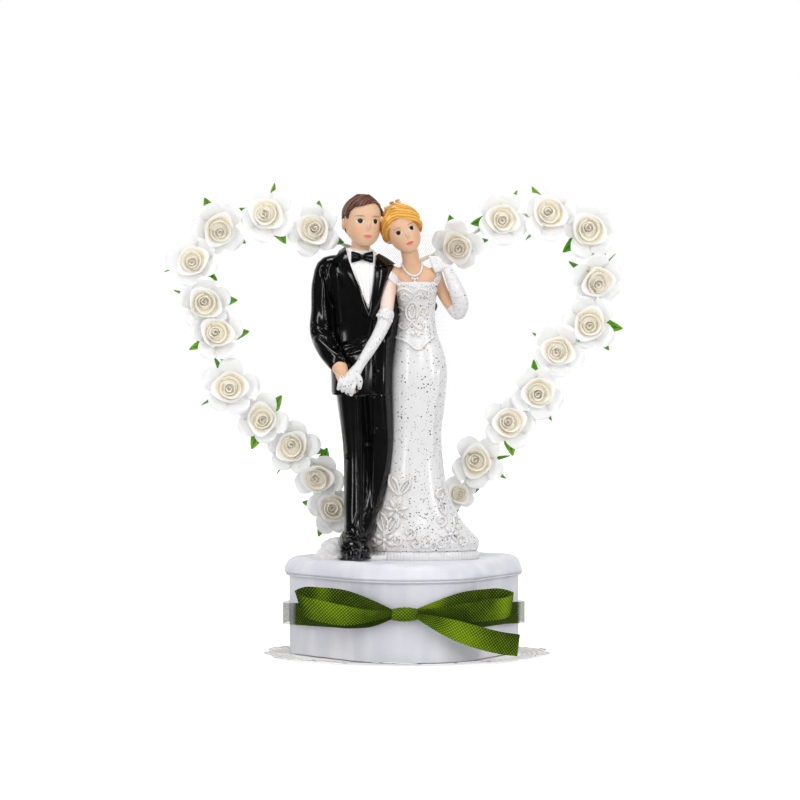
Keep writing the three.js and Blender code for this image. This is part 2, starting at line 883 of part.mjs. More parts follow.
// The necklace lies on the chest from one side of the neck to the other
function necklace() {
  const centre = new THREE.Vector3(brideX - 0.014 * brideHeight, 0, 0.822 * brideHeight);
  const spread = 0.046 * brideHeight;
  const drop = 0.03 * brideHeight;
  const count = 9;
  const path = Array.from({ length: count }, (_, i) => {
    const angle = Math.PI * (1 + i / (count - 1));
    return centre
      .clone()
      .add(new THREE.Vector3(spread * Math.cos(angle), spread * Math.sin(angle), drop * Math.sin(angle)));
  });
  const rows = path.map((p) => [...p.toArray(), beadDiameter / 2]);
  return limb(rows, 1, new THREE.Vector3(), 6, 0, upwards);
}

function waistFlower() {
  const centre = new THREE.Vector3(brideX - 0.003 * brideHeight, -0.054 * brideHeight, 0.628 * brideHeight);
  const radius = waistFlowerWidth / 2;
  return pebble(centre, new THREE.Vector3(radius, 0.4 * radius, radius));
}

// Rows of the veil: height, centre x, centre y, half width, how far its right edge comes forward
const veilShares = [
  [0.995, -0.052, 0.062, 0.035, 0.01],
  [0.955, -0.04, 0.096, 0.06, 0.03],
  [0.9, -0.022, 0.108, 0.085, 0.05],
  [0.84, -0.012, 0.112, 0.1, 0.055],
  [0.76, -0.008, 0.124, 0.105, 0.04],
  [0.66, -0.006, veilBackShare, 0.105, 0.02],
  [0.55, -0.004, 0.118, 0.105, 0.01],
  [0.44, -0.004, 0.11, 0.105, 0.005],
];

function veilForm() {
  const columns = 4 * veilFolds + 1;
  const rows = veilShares.map(([z, x, y, halfWidth, forward], row) =>
    Array.from({ length: columns }, (_, c) => {
      const across = (2 * c) / (columns - 1) - 1;
      const fold = veilFoldDepth * Math.sin(Math.PI * veilFolds * across + row * 0.3);
      const wrap = forward * Math.max(across, 0) ** 2;
      return new THREE.Vector3(
        brideX + (x + halfWidth * across) * brideHeight,
        (y - wrap) * brideHeight + fold,
        z * brideHeight,
      );
    }),
  );
  return sheet(rows.reverse(), veilThickness);
}

const plinthSides = 24;

function plinth() {
  const place = new THREE.Vector3(plinthX, 0, 0);
  const ring = (z, share) =>
    oval(place.x, place.y, z, (share * plinthWidth) / 2, (share * plinthDepth) / 2, plinthSides);
  return loft([
    ring(coupleBottom, 0.98),
    ring(coupleBottom + 0.5 * plinthHeight, 1),
    ring(coupleBottom + plinthHeight, 0.96),
  ]);
}

function shoe(shares, grow = 0) {
  const body = limb(shares, groomHeight, groomPlace, limbSides, grow, upwards);
  return body.trimByPlane([0, 0, 1], coupleBottom);
}

// Arch. Its frame has its origin on the lid's top, in the plane of the wire.

// Each rose from the tip upwards or from the notch outwards: x as a share of the arch's half width, z of its height, size, tilt to the right, tilt up,
// turn about its own axis in degrees, and the directions of its leaves in degrees
const leftRoseShares = [
  [-0.327, 0.138, 0.94, 0.2, 0.1, 10, [180, 260]],
  [-0.366, 0.245, 0.96, -0.2, -0.3, 40, [250, 60]],
  [-0.491, 0.322, 0.98, -0.25, 0, 0, [345, 230]],
  [-0.651, 0.398, 0.96, -0.2, 0.2, 20, [236, 45]],
  [-0.815, 0.499, 1.04, -0.1, 0.1, 50, [215, 105]],
  [-0.884, 0.646, 0.98, 0, 0.25, 5, [10, 212]],
  [-0.948, 0.757, 1, 0, -0.2, 30, [151, 0]],
  [-0.998, 0.869, 0.95, -0.15, 0.12, 60, [318, 200]],
  [-0.884, 0.978, 1, 0.05, -0.2, 15, [115, 335]],
  [-0.62, 1.001, 1.04, -0.2, 0.2, 35, [80, 148, 287]],
  [-0.391, 0.952, 1, -0.25, 0.25, 55, [72, 331]],
];
const rightRoseShares = [
  [0.324, 0.926, 0.96, -0.2, -0.2, 25, [95, 3]],
  [0.535, 1, 0.98, 0.05, 0, 45, [54, 190]],
  [0.777, 1.003, 1.04, 0, 0.2, 0, [125, 235]],
  [0.978, 0.965, 1.04, -0.05, -0.05, 30, [214, 300]],
  [0.999, 0.826, 1, 0.2, -0.2, 60, [70, 151]],
  [0.989, 0.69, 1.03, -0.15, 0, 10, [344, 302]],
  [0.837, 0.61, 0.98, -0.2, 0, 40, [128, 21]],
  [0.712, 0.485, 1, 0.08, 0, 20, [106, 312]],
  [0.566, 0.388, 1, 0.1, 0.1, 50, [61, 285]],
  [0.425, 0.279, 1, -0.15, 0, 15, [11, 312]],
  [0.325, 0.181, 0.66, -0.1, 0.1, 35, [10, 262]],
];
const notchShares = [
  [-0.16, 0.9],
  [0.04, 0.85],
  [0.17, 0.885],
];
const tipShares = { left: [-0.2, 0.07], right: [0.2, 0.09] };
const wireTubeSteps = 64;
const wireSides = 6;

function onWire([x, z]) {
  return new THREE.Vector3(x * archHalfWidth, 0, z * archHeight);
}

// The wire passes behind every rose and its two ends go down into the lid side by side
function wireSolid(grow = 0) {
  const apart = wireDiameter / 2 - fitGap / 2;
  const ends = [-apart, apart].map((x) => new THREE.Vector3(x, 0, -wireDepthInLid));
  const shoulders = [-apart, apart].map((x) => new THREE.Vector3(x, 0, 0.02 * archHeight));
  const path = new THREE.CatmullRomCurve3(
    [
      ends[0],
      shoulders[0],
      onWire(tipShares.left),
      ...leftRoseShares.map(onWire),
      ...notchShares.map(onWire),
      ...rightRoseShares.map(onWire),
      onWire(tipShares.right),
      shoulders[1],
      ends[1],
    ],
    false,
    "centripetal",
  );
  const radius = wireDiameter / 2 + grow;
  const section = new THREE.Shape(arcPoints(0, 0, radius, 0, 2 * Math.PI, wireSides).slice(0, -1));
  return solidFrom(
    new THREE.ExtrudeGeometry(section, { steps: wireTubeSteps, extrudePath: path, bevelEnabled: false }),
  );
}

// A rose about its own axis: radius and height as shares of its radius, and how deep its petals part
const roseShares = [
  [0.16, 0, 0],
  [1, 0.4, 0.2],
  [0.62, 0.42, 0.04],
  [0.6, 0.8, 0.03],
  [0.46, 1, 0.03],
  [0.24, 0.72, 0],
  [0.11, 0.86, 0],
];
const rimRow = 1;
const petals = 5;
const roseSides = 3 * petals;

function roseBody(radius, turn, grow) {
  const rings = roseShares.map(([out, up, part], row) =>
    Array.from({ length: roseSides }, (_, s) => {
      const angle = (2 * Math.PI * s) / roseSides + turn;
      const reach = out * radius * (s % 3 === 0 ? 1 - part : 1) + (row === rimRow ? 2 * grow : grow);
      const lift = up * radius + Math.sign(row - rimRow) * grow;
      return new THREE.Vector3(reach * Math.cos(angle), reach * Math.sin(angle), lift);
    }),
  );
  return loft(rings);
}

// A pointed leaf that lies under the petals and shows its tip beyond them
function leafBody(size, angle, grow) {
  const out = new THREE.Vector3(Math.cos(angle), Math.sin(angle), 0);
  const side = new THREE.Vector3(-out.y, out.x, 0);
  const stations = [
    [0.08, 0.06, 0.04],
    [0.72, 0.5, 0.1],
    [1, 0.04, 0.2],
  ].map(([along, width, lift]) => ({
    centre: out
      .clone()
      .multiplyScalar(along * leafLength * size)
      .setZ(lift * roseRadius * size),
    half: side.clone().multiplyScalar(width * leafWidth * size),
  }));
  return strip(stations, leafThickness, grow);
}

function roseSolid([x, z, size, tiltX, tiltZ, turn, leaves], grow = 0) {
  const radius = roseRadius * size;
  const axis = new THREE.Vector3(tiltX, -1, tiltZ).normalize();
  const quaternion = new THREE.Quaternion().setFromUnitVectors(new THREE.Vector3(0, 0, 1), axis);
  const root = onWire([x, z]).addScaledVector(axis, wireDiameter / 2 + fitGap + 0.05 * radius);
  const matrix = new THREE.Matrix4().compose(root, quaternion, new THREE.Vector3(1, 1, 1));
  const parts = [roseBody(radius, THREE.MathUtils.degToRad(turn), grow)];
  for (const leaf of leaves) parts.push(leafBody(size, THREE.MathUtils.degToRad(leaf), grow));
  const geometry = geometryFrom(join(parts));
  geometry.applyMatrix4(matrix);
  return solidFrom(geometry);
}

// Assembly

const topper = new THREE.Group();
const couple = new THREE.Group();
const arch = new THREE.Group();
couple.position.set(0, 0, lidTop);
arch.position.set(archX, archY, lidTop);
topper.add(couple, arch);

function addPiece(group, name, solid, finish) {
  const mesh = new THREE.Mesh(geometryFrom(solid), materialOf(finish));
  mesh.name = name;
  group.add(mesh);
}

function cutBy(solid, cutters) {
  return mainBody(cutters.reduce((left, cutter) => left.subtract(cutter), solid));
}

function addBase() {
  addPiece(topper, "doily", doilyForm(), "paper");
  addPiece(topper, "base_board", baseBoard(), "card");
  addPiece(topper, "base_core", baseCore(), "foam");
  addPiece(topper, "base_wrap", baseWrap(), "satin");
  addPiece(topper, "lid_board", lidBoard(), "card");
  addPiece(topper, "lid_cover", lidCover(), "satin");
  addPiece(topper, "lid_piping", lidPiping(), "satin");
}

function addRibbon() {
  const band = ribbonBand();
  const knot = bowKnot(fitGap);
  addPiece(topper, "ribbon_band", band, "ribbon");
  addPiece(topper, "bow_knot", bowKnot(), "ribbon");
  addPiece(topper, "bow_loop_left", cutBy(bowPart(leftLoopShares), [knot]), "ribbon");
  addPiece(topper, "bow_loop_right", cutBy(bowPart(rightLoopShares), [knot]), "ribbon");
  addPiece(topper, "bow_tail_left", cutBy(bowPart(leftTailShares), [knot]), "ribbon");
  addPiece(topper, "bow_tail_right", cutBy(bowPart(rightTailShares), [knot]), "ribbon");
}

function addGroom() {
  const frontShoe = shoe(frontShoeShares, fitGap);
  addPiece(couple, "groom_shoe_right", shoe(frontShoeShares), "black");
  addPiece(couple, "groom_shoe_left", cutBy(shoe(backShoeShares), [frontShoe]), "black");
  const shoes = [frontShoe, shoe(backShoeShares, fitGap)];
  addPiece(couple, "groom_trousers", cutBy(trousers(), shoes), "black");
  addPiece(couple, "figure_plinth", cutBy(plinth(), [...shoes, trousers(fitGap)]), "resin");
  addPiece(couple, "groom_head", groomHeadSolid(), "skin");
  addPiece(couple, "groom_shirt", shirt(), "glove");
  const jacket = cutBy(torso().add(sleeves()), [shirtOpening(), groomNeck(fitGap)]);
  addPiece(couple, "groom_jacket", jacket, "black");
  const tieCutters = [groomHeadSolid(fitGap), shirt(fitGap), torso(fitGap)];
  addPiece(couple, "groom_bow_tie", cutBy(bowTie(), tieCutters), "black");
  const hair = hairForm(groomHeadHeight, groomHairThickness, 0.84, 0.16);
  addPiece(couple, "groom_hair", cutBy(onGroomHead(hair), [groomNeck(fitGap)]), "brown");
  addPiece(couple, "groom_hand", cutBy(groomHand(), [sleeves(fitGap), torso(fitGap)]), "skin");
}

function addBride() {
  const suit = [torso(fitGap), sleeves(fitGap), trousers(fitGap), shoe(backShoeShares, fitGap)];
  const hand = groomHand(fitGap);
  addPiece(couple, "bride_skirt", cutBy(skirt(), suit), "resin");
  addPiece(couple, "bride_bodice", cutBy(bodice(), suit), "resin");
  addPiece(couple, "bride_shoulders", cutBy(shoulders(), suit), "skin");
  const neck = shoulders(fitGap);
  const groomHeadCut = [groomHeadSolid(fitGap), onGroomHead(skull(groomHeadHeight, groomHairThickness + fitGap))];
  const head = onBrideHead(headForm(brideHeadHeight));
  addPiece(couple, "bride_head", cutBy(head, [neck, ...groomHeadCut]), "skin");
  addPiece(couple, "bride_hair", cutBy(onBrideHead(brideHairForm()), [neck, ...groomHeadCut]), "blonde");
  const hair = onBrideHead(skull(brideHeadHeight, brideHairThickness + fitGap));
  addPiece(couple, "hair_flowers", cutBy(onBrideHead(hairFlowers()), [hair, ...groomHeadCut]), "resin");
  const dress = [skirt(fitGap), bodice(fitGap), neck];
  const rightArm = brideLimb("upperArmRight", fitGap);
  addPiece(couple, "bride_upper_arm_right", cutBy(brideLimb("upperArmRight"), [...dress, ...suit]), "skin");
  const rightCutters = [...dress, ...suit, hand, rightArm];
  addPiece(couple, "bride_glove_right", cutBy(brideLimb("gloveRight"), rightCutters), "glove");
  const leftArm = brideLimb("upperArmLeft", fitGap);
  const gloveCutters = [...dress, leftArm, hair, onBrideHead(headForm(brideHeadHeight, fitGap))];
  addPiece(couple, "bride_upper_arm_left", cutBy(brideLimb("upperArmLeft"), [...dress, ...suit]), "skin");
  addPiece(couple, "bride_glove_left", cutBy(brideLimb("gloveLeft"), gloveCutters), "glove");
  addPiece(couple, "bride_necklace", cutBy(necklace(), [neck]), "resin");
  addPiece(couple, "waist_flower", cutBy(waistFlower(), dress), "resin");
  addPiece(couple, "veil", veilForm(), "tulle");
}

function addArch() {
  addPiece(arch, "arch_wire", wireSolid(), "wire");
  const wire = wireSolid(fitGap);
  for (const [side, shares] of Object.entries({ left: leftRoseShares, right: rightRoseShares })) {
    shares.forEach((row, i) => {
      const cutters = i > 0 ? [wire, roseSolid(shares[i - 1], fitGap)] : [wire];
      addPiece(arch, `rose_${side}_${i + 1}`, cutBy(roseSolid(row), cutters), "petal");
    });
  }
}

addBase();
addRibbon();
addGroom();
addBride();
addArch();

export default topper;
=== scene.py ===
"""A wedding cake topper: a satin heart box on a paper doily, tied with a ribbon bow, that carries a painted
bride and groom and, behind them, a wire heart of paper roses. Shapes are in millimetres. The properties, the
stage and the shaders' own distances are in metres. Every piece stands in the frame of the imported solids."""

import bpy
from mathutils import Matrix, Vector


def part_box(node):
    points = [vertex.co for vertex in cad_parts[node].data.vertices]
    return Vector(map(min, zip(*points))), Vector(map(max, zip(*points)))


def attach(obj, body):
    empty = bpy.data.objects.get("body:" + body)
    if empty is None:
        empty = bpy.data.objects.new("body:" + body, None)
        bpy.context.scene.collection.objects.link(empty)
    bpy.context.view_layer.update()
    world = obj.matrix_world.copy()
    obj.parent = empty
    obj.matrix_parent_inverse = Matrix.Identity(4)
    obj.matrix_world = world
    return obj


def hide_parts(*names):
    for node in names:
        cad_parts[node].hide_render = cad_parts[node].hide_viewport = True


bl_info = {
    "name": "Wedding cake topper",
    "version": (1, 0, 0),
    "blender": (4, 5, 0),
    "location": "3D View > Sidebar > Topper",
    "description": "Builds a heart box with a painted couple and an arch of paper roses",
    "category": "Object",
}

import math

import bpy
import numpy as np
from mathutils import Matrix, Vector
from mathutils.bvhtree import BVHTree

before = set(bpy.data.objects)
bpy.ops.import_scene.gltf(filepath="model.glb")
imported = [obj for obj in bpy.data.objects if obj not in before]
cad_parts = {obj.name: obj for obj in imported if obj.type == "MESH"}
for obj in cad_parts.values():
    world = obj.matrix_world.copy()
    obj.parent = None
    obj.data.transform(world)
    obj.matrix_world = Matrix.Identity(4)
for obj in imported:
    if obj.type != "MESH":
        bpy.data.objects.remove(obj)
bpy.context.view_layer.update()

MM = 0.001
# Points closer than this merge, edges with less than this angle look smooth, and painted shade in recesses
# reaches this wide
merge_gap, smooth_angle, painted_shade_width = 0.002, 50, 0.85


def box_mm(node):
    """A node's lowest and highest corners, in millimetres."""
    low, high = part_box(node)
    return np.array(low) / MM, np.array(high) / MM


lid_top = box_mm("lid_cover")[1][2]
lid_bottom = box_mm("base_wrap")[1][2]
box_bottom = box_mm("base_wrap")[0][2]


# Working with meshes


def clear():
    """Leaves edit mode and selects nothing."""
    if bpy.context.object and bpy.context.object.mode != "OBJECT":
        bpy.ops.object.mode_set(mode="OBJECT")
    bpy.ops.object.select_all(action="DESELECT")


def only(*forms):
    """Selects these objects and makes the first one active."""
    clear()
    for form in forms:
        form.select_set(True)
    bpy.context.view_layer.objects.active = forms[0]


def linked(name, data):
    """A new object in the scene."""
    form = bpy.data.objects.new(name, data)
    bpy.context.scene.collection.objects.link(form)
    return form


def modify(form, kind, **settings):
    """Adds a modifier and applies it."""
    only(form)
    modifier = form.modifiers.new(kind.title(), kind)
    for name, value in settings.items():
        setattr(modifier, name, value)
    bpy.ops.object.modifier_apply(modifier=modifier.name)


def thicken(form, thickness, offset=0):
    modify(form, "SOLIDIFY", thickness=thickness * MM, offset=offset)


def vectors(form, field):
    flat = np.empty(len(form.data.vertices) * 3, np.float32)
    form.data.vertices.foreach_get(field, flat)
    return flat.reshape(-1, 3)


def points(form):
    return vectors(form, "co").astype(float) / MM


def normals(form):
    return vectors(form, "normal").astype(float)


def set_points(form, p):
    form.data.vertices.foreach_set("co", (np.asarray(p) * MM).astype(np.float32).ravel())
    form.data.update()


def push(form, amount):
    """Moves each vertex along its normal by its own amount."""
    set_points(form, points(form) + normals(form) * np.asarray(amount)[:, None])


def rest_on(form, floor):
    """Lifts what lies below a level up to it."""
    p = points(form)
    p[:, 2] = np.maximum(p[:, 2], floor)
    set_points(form, p)


def seal(form, capped=False):
    """Merges what meets, closes the open rims if capped, and turns every face outwards."""
    only(form)
    bpy.ops.object.mode_set(mode="EDIT")
    bpy.ops.mesh.select_all(action="SELECT")
    bpy.ops.mesh.remove_doubles(threshold=merge_gap * MM)
    if capped:
        bpy.ops.mesh.select_all(action="DESELECT")
        bpy.ops.mesh.select_non_manifold(
            extend=False, use_wire=False, use_multi_face=False, use_non_contiguous=False, use_verts=False
        )
        bpy.ops.mesh.fill_holes(sides=0)
    bpy.ops.mesh.normals_make_consistent(inside=False)
    bpy.ops.object.mode_set(mode="OBJECT")
    return form


def joined(name, parts):
    """Several parts as one object."""
    only(*parts)
    bpy.ops.object.join()
    form = bpy.context.object
    form.name = form.data.name = name
    return form


def copied(form, name):
    """A copy with its own mesh."""
    return linked(name, form.data.copy())


def eased(form, voxel, rounds):
    """Makes a form one even skin and smooths it."""
    modify(form, "REMESH", mode="VOXEL", voxel_size=voxel * MM)
    if rounds:
        modify(form, "SMOOTH", factor=0.5, iterations=rounds)
    return form


def fused(name, parts, voxel, rounds=2):
    """Parts that run into each other, made one skin and eased where they meet."""
    return eased(joined(name, parts), voxel, rounds)


def travelled(p):
    """How far along a line each of its points lies."""
    return np.concatenate([[0], np.cumsum(np.linalg.norm(np.diff(p, axis=0), axis=1))])


def through(rows, count):
    """Evenly spaced rows along a smooth line through the rows given. The first three numbers are a place."""
    rows = np.array(rows, float)
    at = travelled(rows[:, :3])
    slope = np.gradient(rows, at, axis=0)
    along = np.linspace(0, at[-1], count)
    i = np.clip(np.searchsorted(at, along, side="right") - 1, 0, len(at) - 2)
    gap = (at[i + 1] - at[i])[:, None]
    u = ((along - at[i]) / gap[:, 0])[:, None]
    return (
        (2 * u**3 - 3 * u**2 + 1) * rows[i]
        + (u**3 - 2 * u**2 + u) * gap * slope[i]
        + (3 * u**2 - 2 * u**3) * rows[i + 1]
        + (u**3 - u**2) * gap * slope[i + 1]
    )


def drawn(line, count):
    """Evenly spaced points along a smooth line drawn in x and z."""
    return through([(x, 0, z) for x, z in line], count)


def turned(name, rows, sides=48, steps=40):
    """A closed form of level ovals, extruded upwards. Each row is z, x, y, half width, half depth."""
    rows = through(rows, steps) * MM
    z, x, y, wide, deep = rows[0]
    clear()
    bpy.ops.mesh.primitive_circle_add(vertices=sides, radius=1, fill_type="NGON", location=(x, y, z))
    form = bpy.context.object
    form.name = name
    bpy.ops.object.mode_set(mode="EDIT")
    bpy.ops.transform.resize(value=(wide, deep, 1), center_override=(x, y, z))
    for was, now in zip(rows, rows[1:]):
        step = (now[1] - was[1], now[2] - was[2], now[0] - was[0])
        bpy.ops.mesh.extrude_region_move(TRANSFORM_OT_translate={"value": step})
        ratio = (now[3] / was[3], now[4] / was[4], 1)
        bpy.ops.transform.resize(value=ratio, center_override=(now[1], now[2], now[0]))
    bpy.ops.object.mode_set(mode="OBJECT")
    bpy.ops.object.transform_apply(location=True, rotation=True, scale=True)
    return seal(form)


def limb(name, rows, steps=24, sides=6):
    """A round limb with rounded ends. Each row is x, y, z and a radius."""
    rows = through(rows, steps)
    ends = []
    for end, neighbour in ((rows[0], rows[1]), (rows[-1], rows[-2])):
        out = (end[:3] - neighbour[:3]) / np.linalg.norm(end[:3] - neighbour[:3])
        turns = np.radians([25, 48, 68, 84])
        caps = [np.append(end[:3] + out * end[3] * math.sin(t), end[3] * math.cos(t)) for t in turns]
        ends.append(caps)
    rows = np.array([*reversed(ends[0]), *rows, *ends[1]])
    curve = bpy.data.curves.new(name, "CURVE")
    curve.dimensions = "3D"
    curve.bevel_depth = MM
    curve.bevel_resolution = sides
    curve.use_fill_caps = True
    spline = curve.splines.new("POLY")
    spline.points.add(len(rows) - 1)
    spline.points.foreach_set("co", np.column_stack([rows[:, :3] * MM, np.ones(len(rows))]).ravel())
    spline.points.foreach_set("radius", rows[:, 3])
    only(linked(name, curve))
    bpy.ops.object.convert(target="MESH")
    return seal(bpy.context.object)


def pebble(name, centre, radii, turn=(0, 0, 0)):
    """A rounded lump with its own radius on each axis."""
    clear()
    bpy.ops.mesh.primitive_uv_sphere_add(segments=24, ring_count=14, radius=MM)
    form = bpy.context.object
    form.name = name
    bpy.ops.transform.resize(value=radii, center_override=(0, 0, 0))
    form.rotation_euler = turn
    form.location = Vector(centre) * MM
    bpy.ops.object.transform_apply(location=True, rotation=True, scale=True)
    return form


def woven(name, p):
    """A sheet of quads through rows of points, with a UV map in millimetres along the sheet."""
    rows, columns = p.shape[:2]
    clear()
    bpy.ops.mesh.primitive_grid_add(x_subdivisions=columns - 1, y_subdivisions=rows - 1, size=2)
    form = bpy.context.object
    form.name = form.data.name = name
    set_points(form, p.reshape(-1, 3))
    down, across = travelled(p[:, columns // 2]), travelled(p[rows // 2])
    corners = np.empty(len(form.data.loops), int)
    form.data.loops.foreach_get("vertex_index", corners)
    uv = np.column_stack([across[corners % columns], down[corners // columns]])
    form.data.uv_layers[0].data.foreach_set("uv", uv.astype(np.float32).ravel())
    return form


def mark(form, **values):
    """Keeps numbers for the material to read: one for each vertex, or the same one for all."""
    for name, value in values.items():
        attribute = form.data.attributes.new(name, "FLOAT", "POINT")
        each = np.broadcast_to(value, len(form.data.vertices)).astype(np.float32)
        attribute.data.foreach_set("value", each)


def paint(form, colours):
    """Keeps one colour for each vertex, for the skin's paint to read."""
    attribute = form.data.attributes.new("paint", "FLOAT_COLOR", "POINT")
    rgba = np.column_stack([colours, np.ones(len(colours))])
    attribute.data.foreach_set("color", rgba.astype(np.float32).ravel())


def keep(form, looks, slot=None, *nodes):
    """Gives a finished piece its material, its place in the frame and the nodes it stands for."""
    only(form)
    form.data.materials.clear()
    form.data.materials.append(looks)
    bpy.ops.object.shade_smooth_by_angle(angle=math.radians(smooth_angle))
    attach(form, "root")
    if nodes:
        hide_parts(*nodes)


def surface_of(form):
    """A search tree over the form, for laying things on it."""
    return BVHTree.FromObject(form, bpy.context.evaluated_depsgraph_get())


def laid_on(tree, p, lift, back=60):
    """Points moved along y onto a surface and lifted off it. What misses goes to the nearest place."""
    out = []
    for x, y, z in p:
        hit, normal, _, _ = tree.ray_cast(Vector((x, -back, z)) * MM, Vector((0, back, 0)))
        if hit is None:
            hit, normal, _, _ = tree.find_nearest(Vector((x, y, z)) * MM)
        out.append(np.array(hit) / MM + np.array(normal) * lift)
    return np.array(out)


def stud(name, tree, place, lift, radii):
    """A small lump laid on a form."""
    return pebble(name, tuple(laid_on(tree, [place], lift)[0]), radii)


def cord(tree, line, radii, back=60, lift=0.0):
    """A raised cord laid on a form along a line in x and z, with its radii from end to end."""
    spots = laid_on(tree, drawn(line, 3 * len(line) + 3), lift, back)
    radius = np.interp(np.linspace(0, 1, len(spots)), np.linspace(0, 1, len(radii)), radii)
    return limb("cord_part", np.column_stack([spots, radius]), len(spots), 2)


def from_line(p, line):
    """Each point's distance from a line drawn in x and z."""
    best = np.full(len(p), 1e9)
    spot = p[:, [0, 2]]
    for a, b in zip(np.array(line, float), np.array(line[1:], float)):
        t = np.clip(((spot - a) @ (b - a)) / max((b - a) @ (b - a), 1e-9), 0, 1)
        best = np.minimum(best, np.linalg.norm(spot - a - t[:, None] * (b - a), axis=1))
    return best


def hump(x, middle, width, power=2):
    """1 at the middle and fading to both sides."""
    return np.exp(-(((x - middle) / width) ** power))


def painted_recess_shade(p, lines):
    """1 beside the lines drawn in x and z, where shade is painted into the recesses."""
    return np.max([hump(from_line(p, line), 0, painted_shade_width) for line in lines], axis=0)


def strokes(form, lines, facing=-1):
    """Presses lines into a form, or raises them. Each is a line in x and z, a half width and a height."""
    p, n = points(form), normals(form)
    amount = np.zeros(len(p))
    for line, half, height in lines:
        amount += height * hump(from_line(p, line), 0, half)
    push(form, amount * np.clip(1.8 * facing * n[:, 1], 0, 1))


def ripple(p, length, seed):
    """Smooth seeded noise, about -1 to 1, with bumps of about that length."""
    rng = np.random.default_rng(seed)
    total = np.zeros(len(p))
    for _ in range(9):
        way = rng.normal(size=3)
        way *= rng.uniform(0.6, 1.5) / np.linalg.norm(way)
        total += np.sin(2 * math.pi * (p @ way) / length + rng.uniform(0, 6.28))
    return total / 4


# Shader pieces


def node(tree, kind, links=(), **settings):
    """A node with its settings. Numbered or named inputs come from links."""
    made = tree.nodes.new(kind)
    for name, value in settings.items():
        setattr(made, name, value)
    for socket, value in dict(links).items():
        if isinstance(value, bpy.types.NodeSocket):
            tree.links.new(value, made.inputs[socket])
        else:
            made.inputs[socket].default_value = value
    return made


def sums(tree, operation, *values, clamp=False):
    """A Math node's value."""
    made = node(tree, "ShaderNodeMath", dict(enumerate(values)), operation=operation, use_clamp=clamp)
    return made.outputs[0]


def blend(tree, share, first, second, **settings):
    """A colour between two colours, each a socket or three plain numbers."""
    ends = [c if isinstance(c, bpy.types.NodeSocket) else (*c[:3], 1.0) for c in (first, second)]
    made = node(tree, "ShaderNodeMix", {0: share, 6: ends[0], 7: ends[1]}, data_type="RGBA", **settings)
    return made.outputs[2]


def ramp(tree, value, low, high):
    """0 below low and 1 above high, smooth between."""
    ends = {"Value": value, "From Min": low, "From Max": high}
    return node(tree, "ShaderNodeMapRange", ends, interpolation_type="SMOOTHSTEP").outputs[0]


def noise(tree, vector, scale, detail=2.0):
    made = node(tree, "ShaderNodeTexNoise", {"Vector": vector, "Scale": scale, "Detail": detail})
    return made.outputs["Fac"]


def stretched(tree, vector, scale):
    return node(tree, "ShaderNodeMapping", {"Vector": vector, "Scale": scale}).outputs[0]


def attribute(tree, name, kind="Fac"):
    return node(tree, "ShaderNodeAttribute", attribute_name=name).outputs[kind]


def split(tree, vector):
    return node(tree, "ShaderNodeSeparateXYZ", {0: vector}).outputs


def flecks(tree, vector, spacing, share):
    """Dark glitter flecks of two sizes, scattered in paint."""
    masks = []
    for size, part in ((1.0, 1.0), (1.7, 0.8)):
        spread = {"Vector": vector, "Scale": sums(tree, "MULTIPLY", spacing, size), "Randomness": 1.0}
        cells = node(tree, "ShaderNodeTexVoronoi", spread).outputs
        apart = node(tree, "ShaderNodeSeparateColor", {"Color": cells["Color"]}).outputs
        reach = sums(tree, "MULTIPLY_ADD", apart["Green"], 0.16, 0.11)
        near = sums(tree, "LESS_THAN", cells["Distance"], reach)
        kept = sums(tree, "LESS_THAN", apart["Red"], sums(tree, "MULTIPLY", share, part))
        masks.append(sums(tree, "MULTIPLY", near, kept))
    return [sums(tree, "MAXIMUM", *masks)]


def fibres(tree, vector, fineness):
    """The soft mottling and fibres of paper."""
    fine = noise(tree, vector, fineness, 3.0)
    return noise(tree, vector, sums(tree, "MULTIPLY", fineness, 0.08)), fine


def weave(tree, vector, pitch):
    """Threads over and under, where the vector is in millimetres."""
    apart = split(tree, vector)
    wave = []
    for axis in ("X", "Y"):
        turns = sums(tree, "DIVIDE", apart[axis], pitch)
        wave.append(sums(tree, "SINE", sums(tree, "MULTIPLY", turns, 2 * math.pi)))
    both = sums(tree, "MULTIPLY_ADD", sums(tree, "MULTIPLY", *wave), 0.5, 0.5)
    return both, sums(tree, "MULTIPLY_ADD", sums(tree, "ABSOLUTE", wave[1]), 0.4, both)


def brush_marks(tree, vector, size):
    """Hand-brushed paint: slow unevenness and fine brush marks."""
    slow = noise(tree, vector, size)
    fine = noise(tree, vector, sums(tree, "MULTIPLY", size, 7.0))
    return slow, sums(tree, "MULTIPLY_ADD", fine, 0.35, slow)


# Each shared group: its float inputs, its outputs and the function that fills it
shared_groups = {
    "Glitter flecks": ({"Spacing": 550.0, "Share": 0.5}, ("Mask",), flecks),
    "Paper fibre": ({"Fineness": 2500.0}, ("Mottle", "Height"), fibres),
    "Thread weave": ({"Pitch": 0.9}, ("Over", "Height"), weave),
    "Brushed paint": ({"Size": 160.0}, ("Tone", "Height"), brush_marks),
}


def placed(tree, name, vector, **values):
    """The outputs of a shared group placed in a material. The group is made when it is first asked for."""
    floats, outputs, fill = shared_groups[name]
    group = bpy.data.node_groups.get(name)
    if group is None:
        group = bpy.data.node_groups.new(name, "ShaderNodeTree")
        group.interface.new_socket(name="Vector", in_out="INPUT", socket_type="NodeSocketVector")
        for label, value in floats.items():
            socket = group.interface.new_socket(name=label, in_out="INPUT", socket_type="NodeSocketFloat")
            socket.default_value = value
        for label in outputs:
            group.interface.new_socket(name=label, in_out="OUTPUT", socket_type="NodeSocketFloat")
        given = group.nodes.new("NodeGroupInput").outputs
        result = group.nodes.new("NodeGroupOutput").inputs
        for label, value in zip(outputs, fill(group, *[given[key] for key in ("Vector", *floats)])):
            group.links.new(value, result[label])
    return node(tree, "ShaderNodeGroup", {"Vector": vector, **values}, node_tree=group).outputs


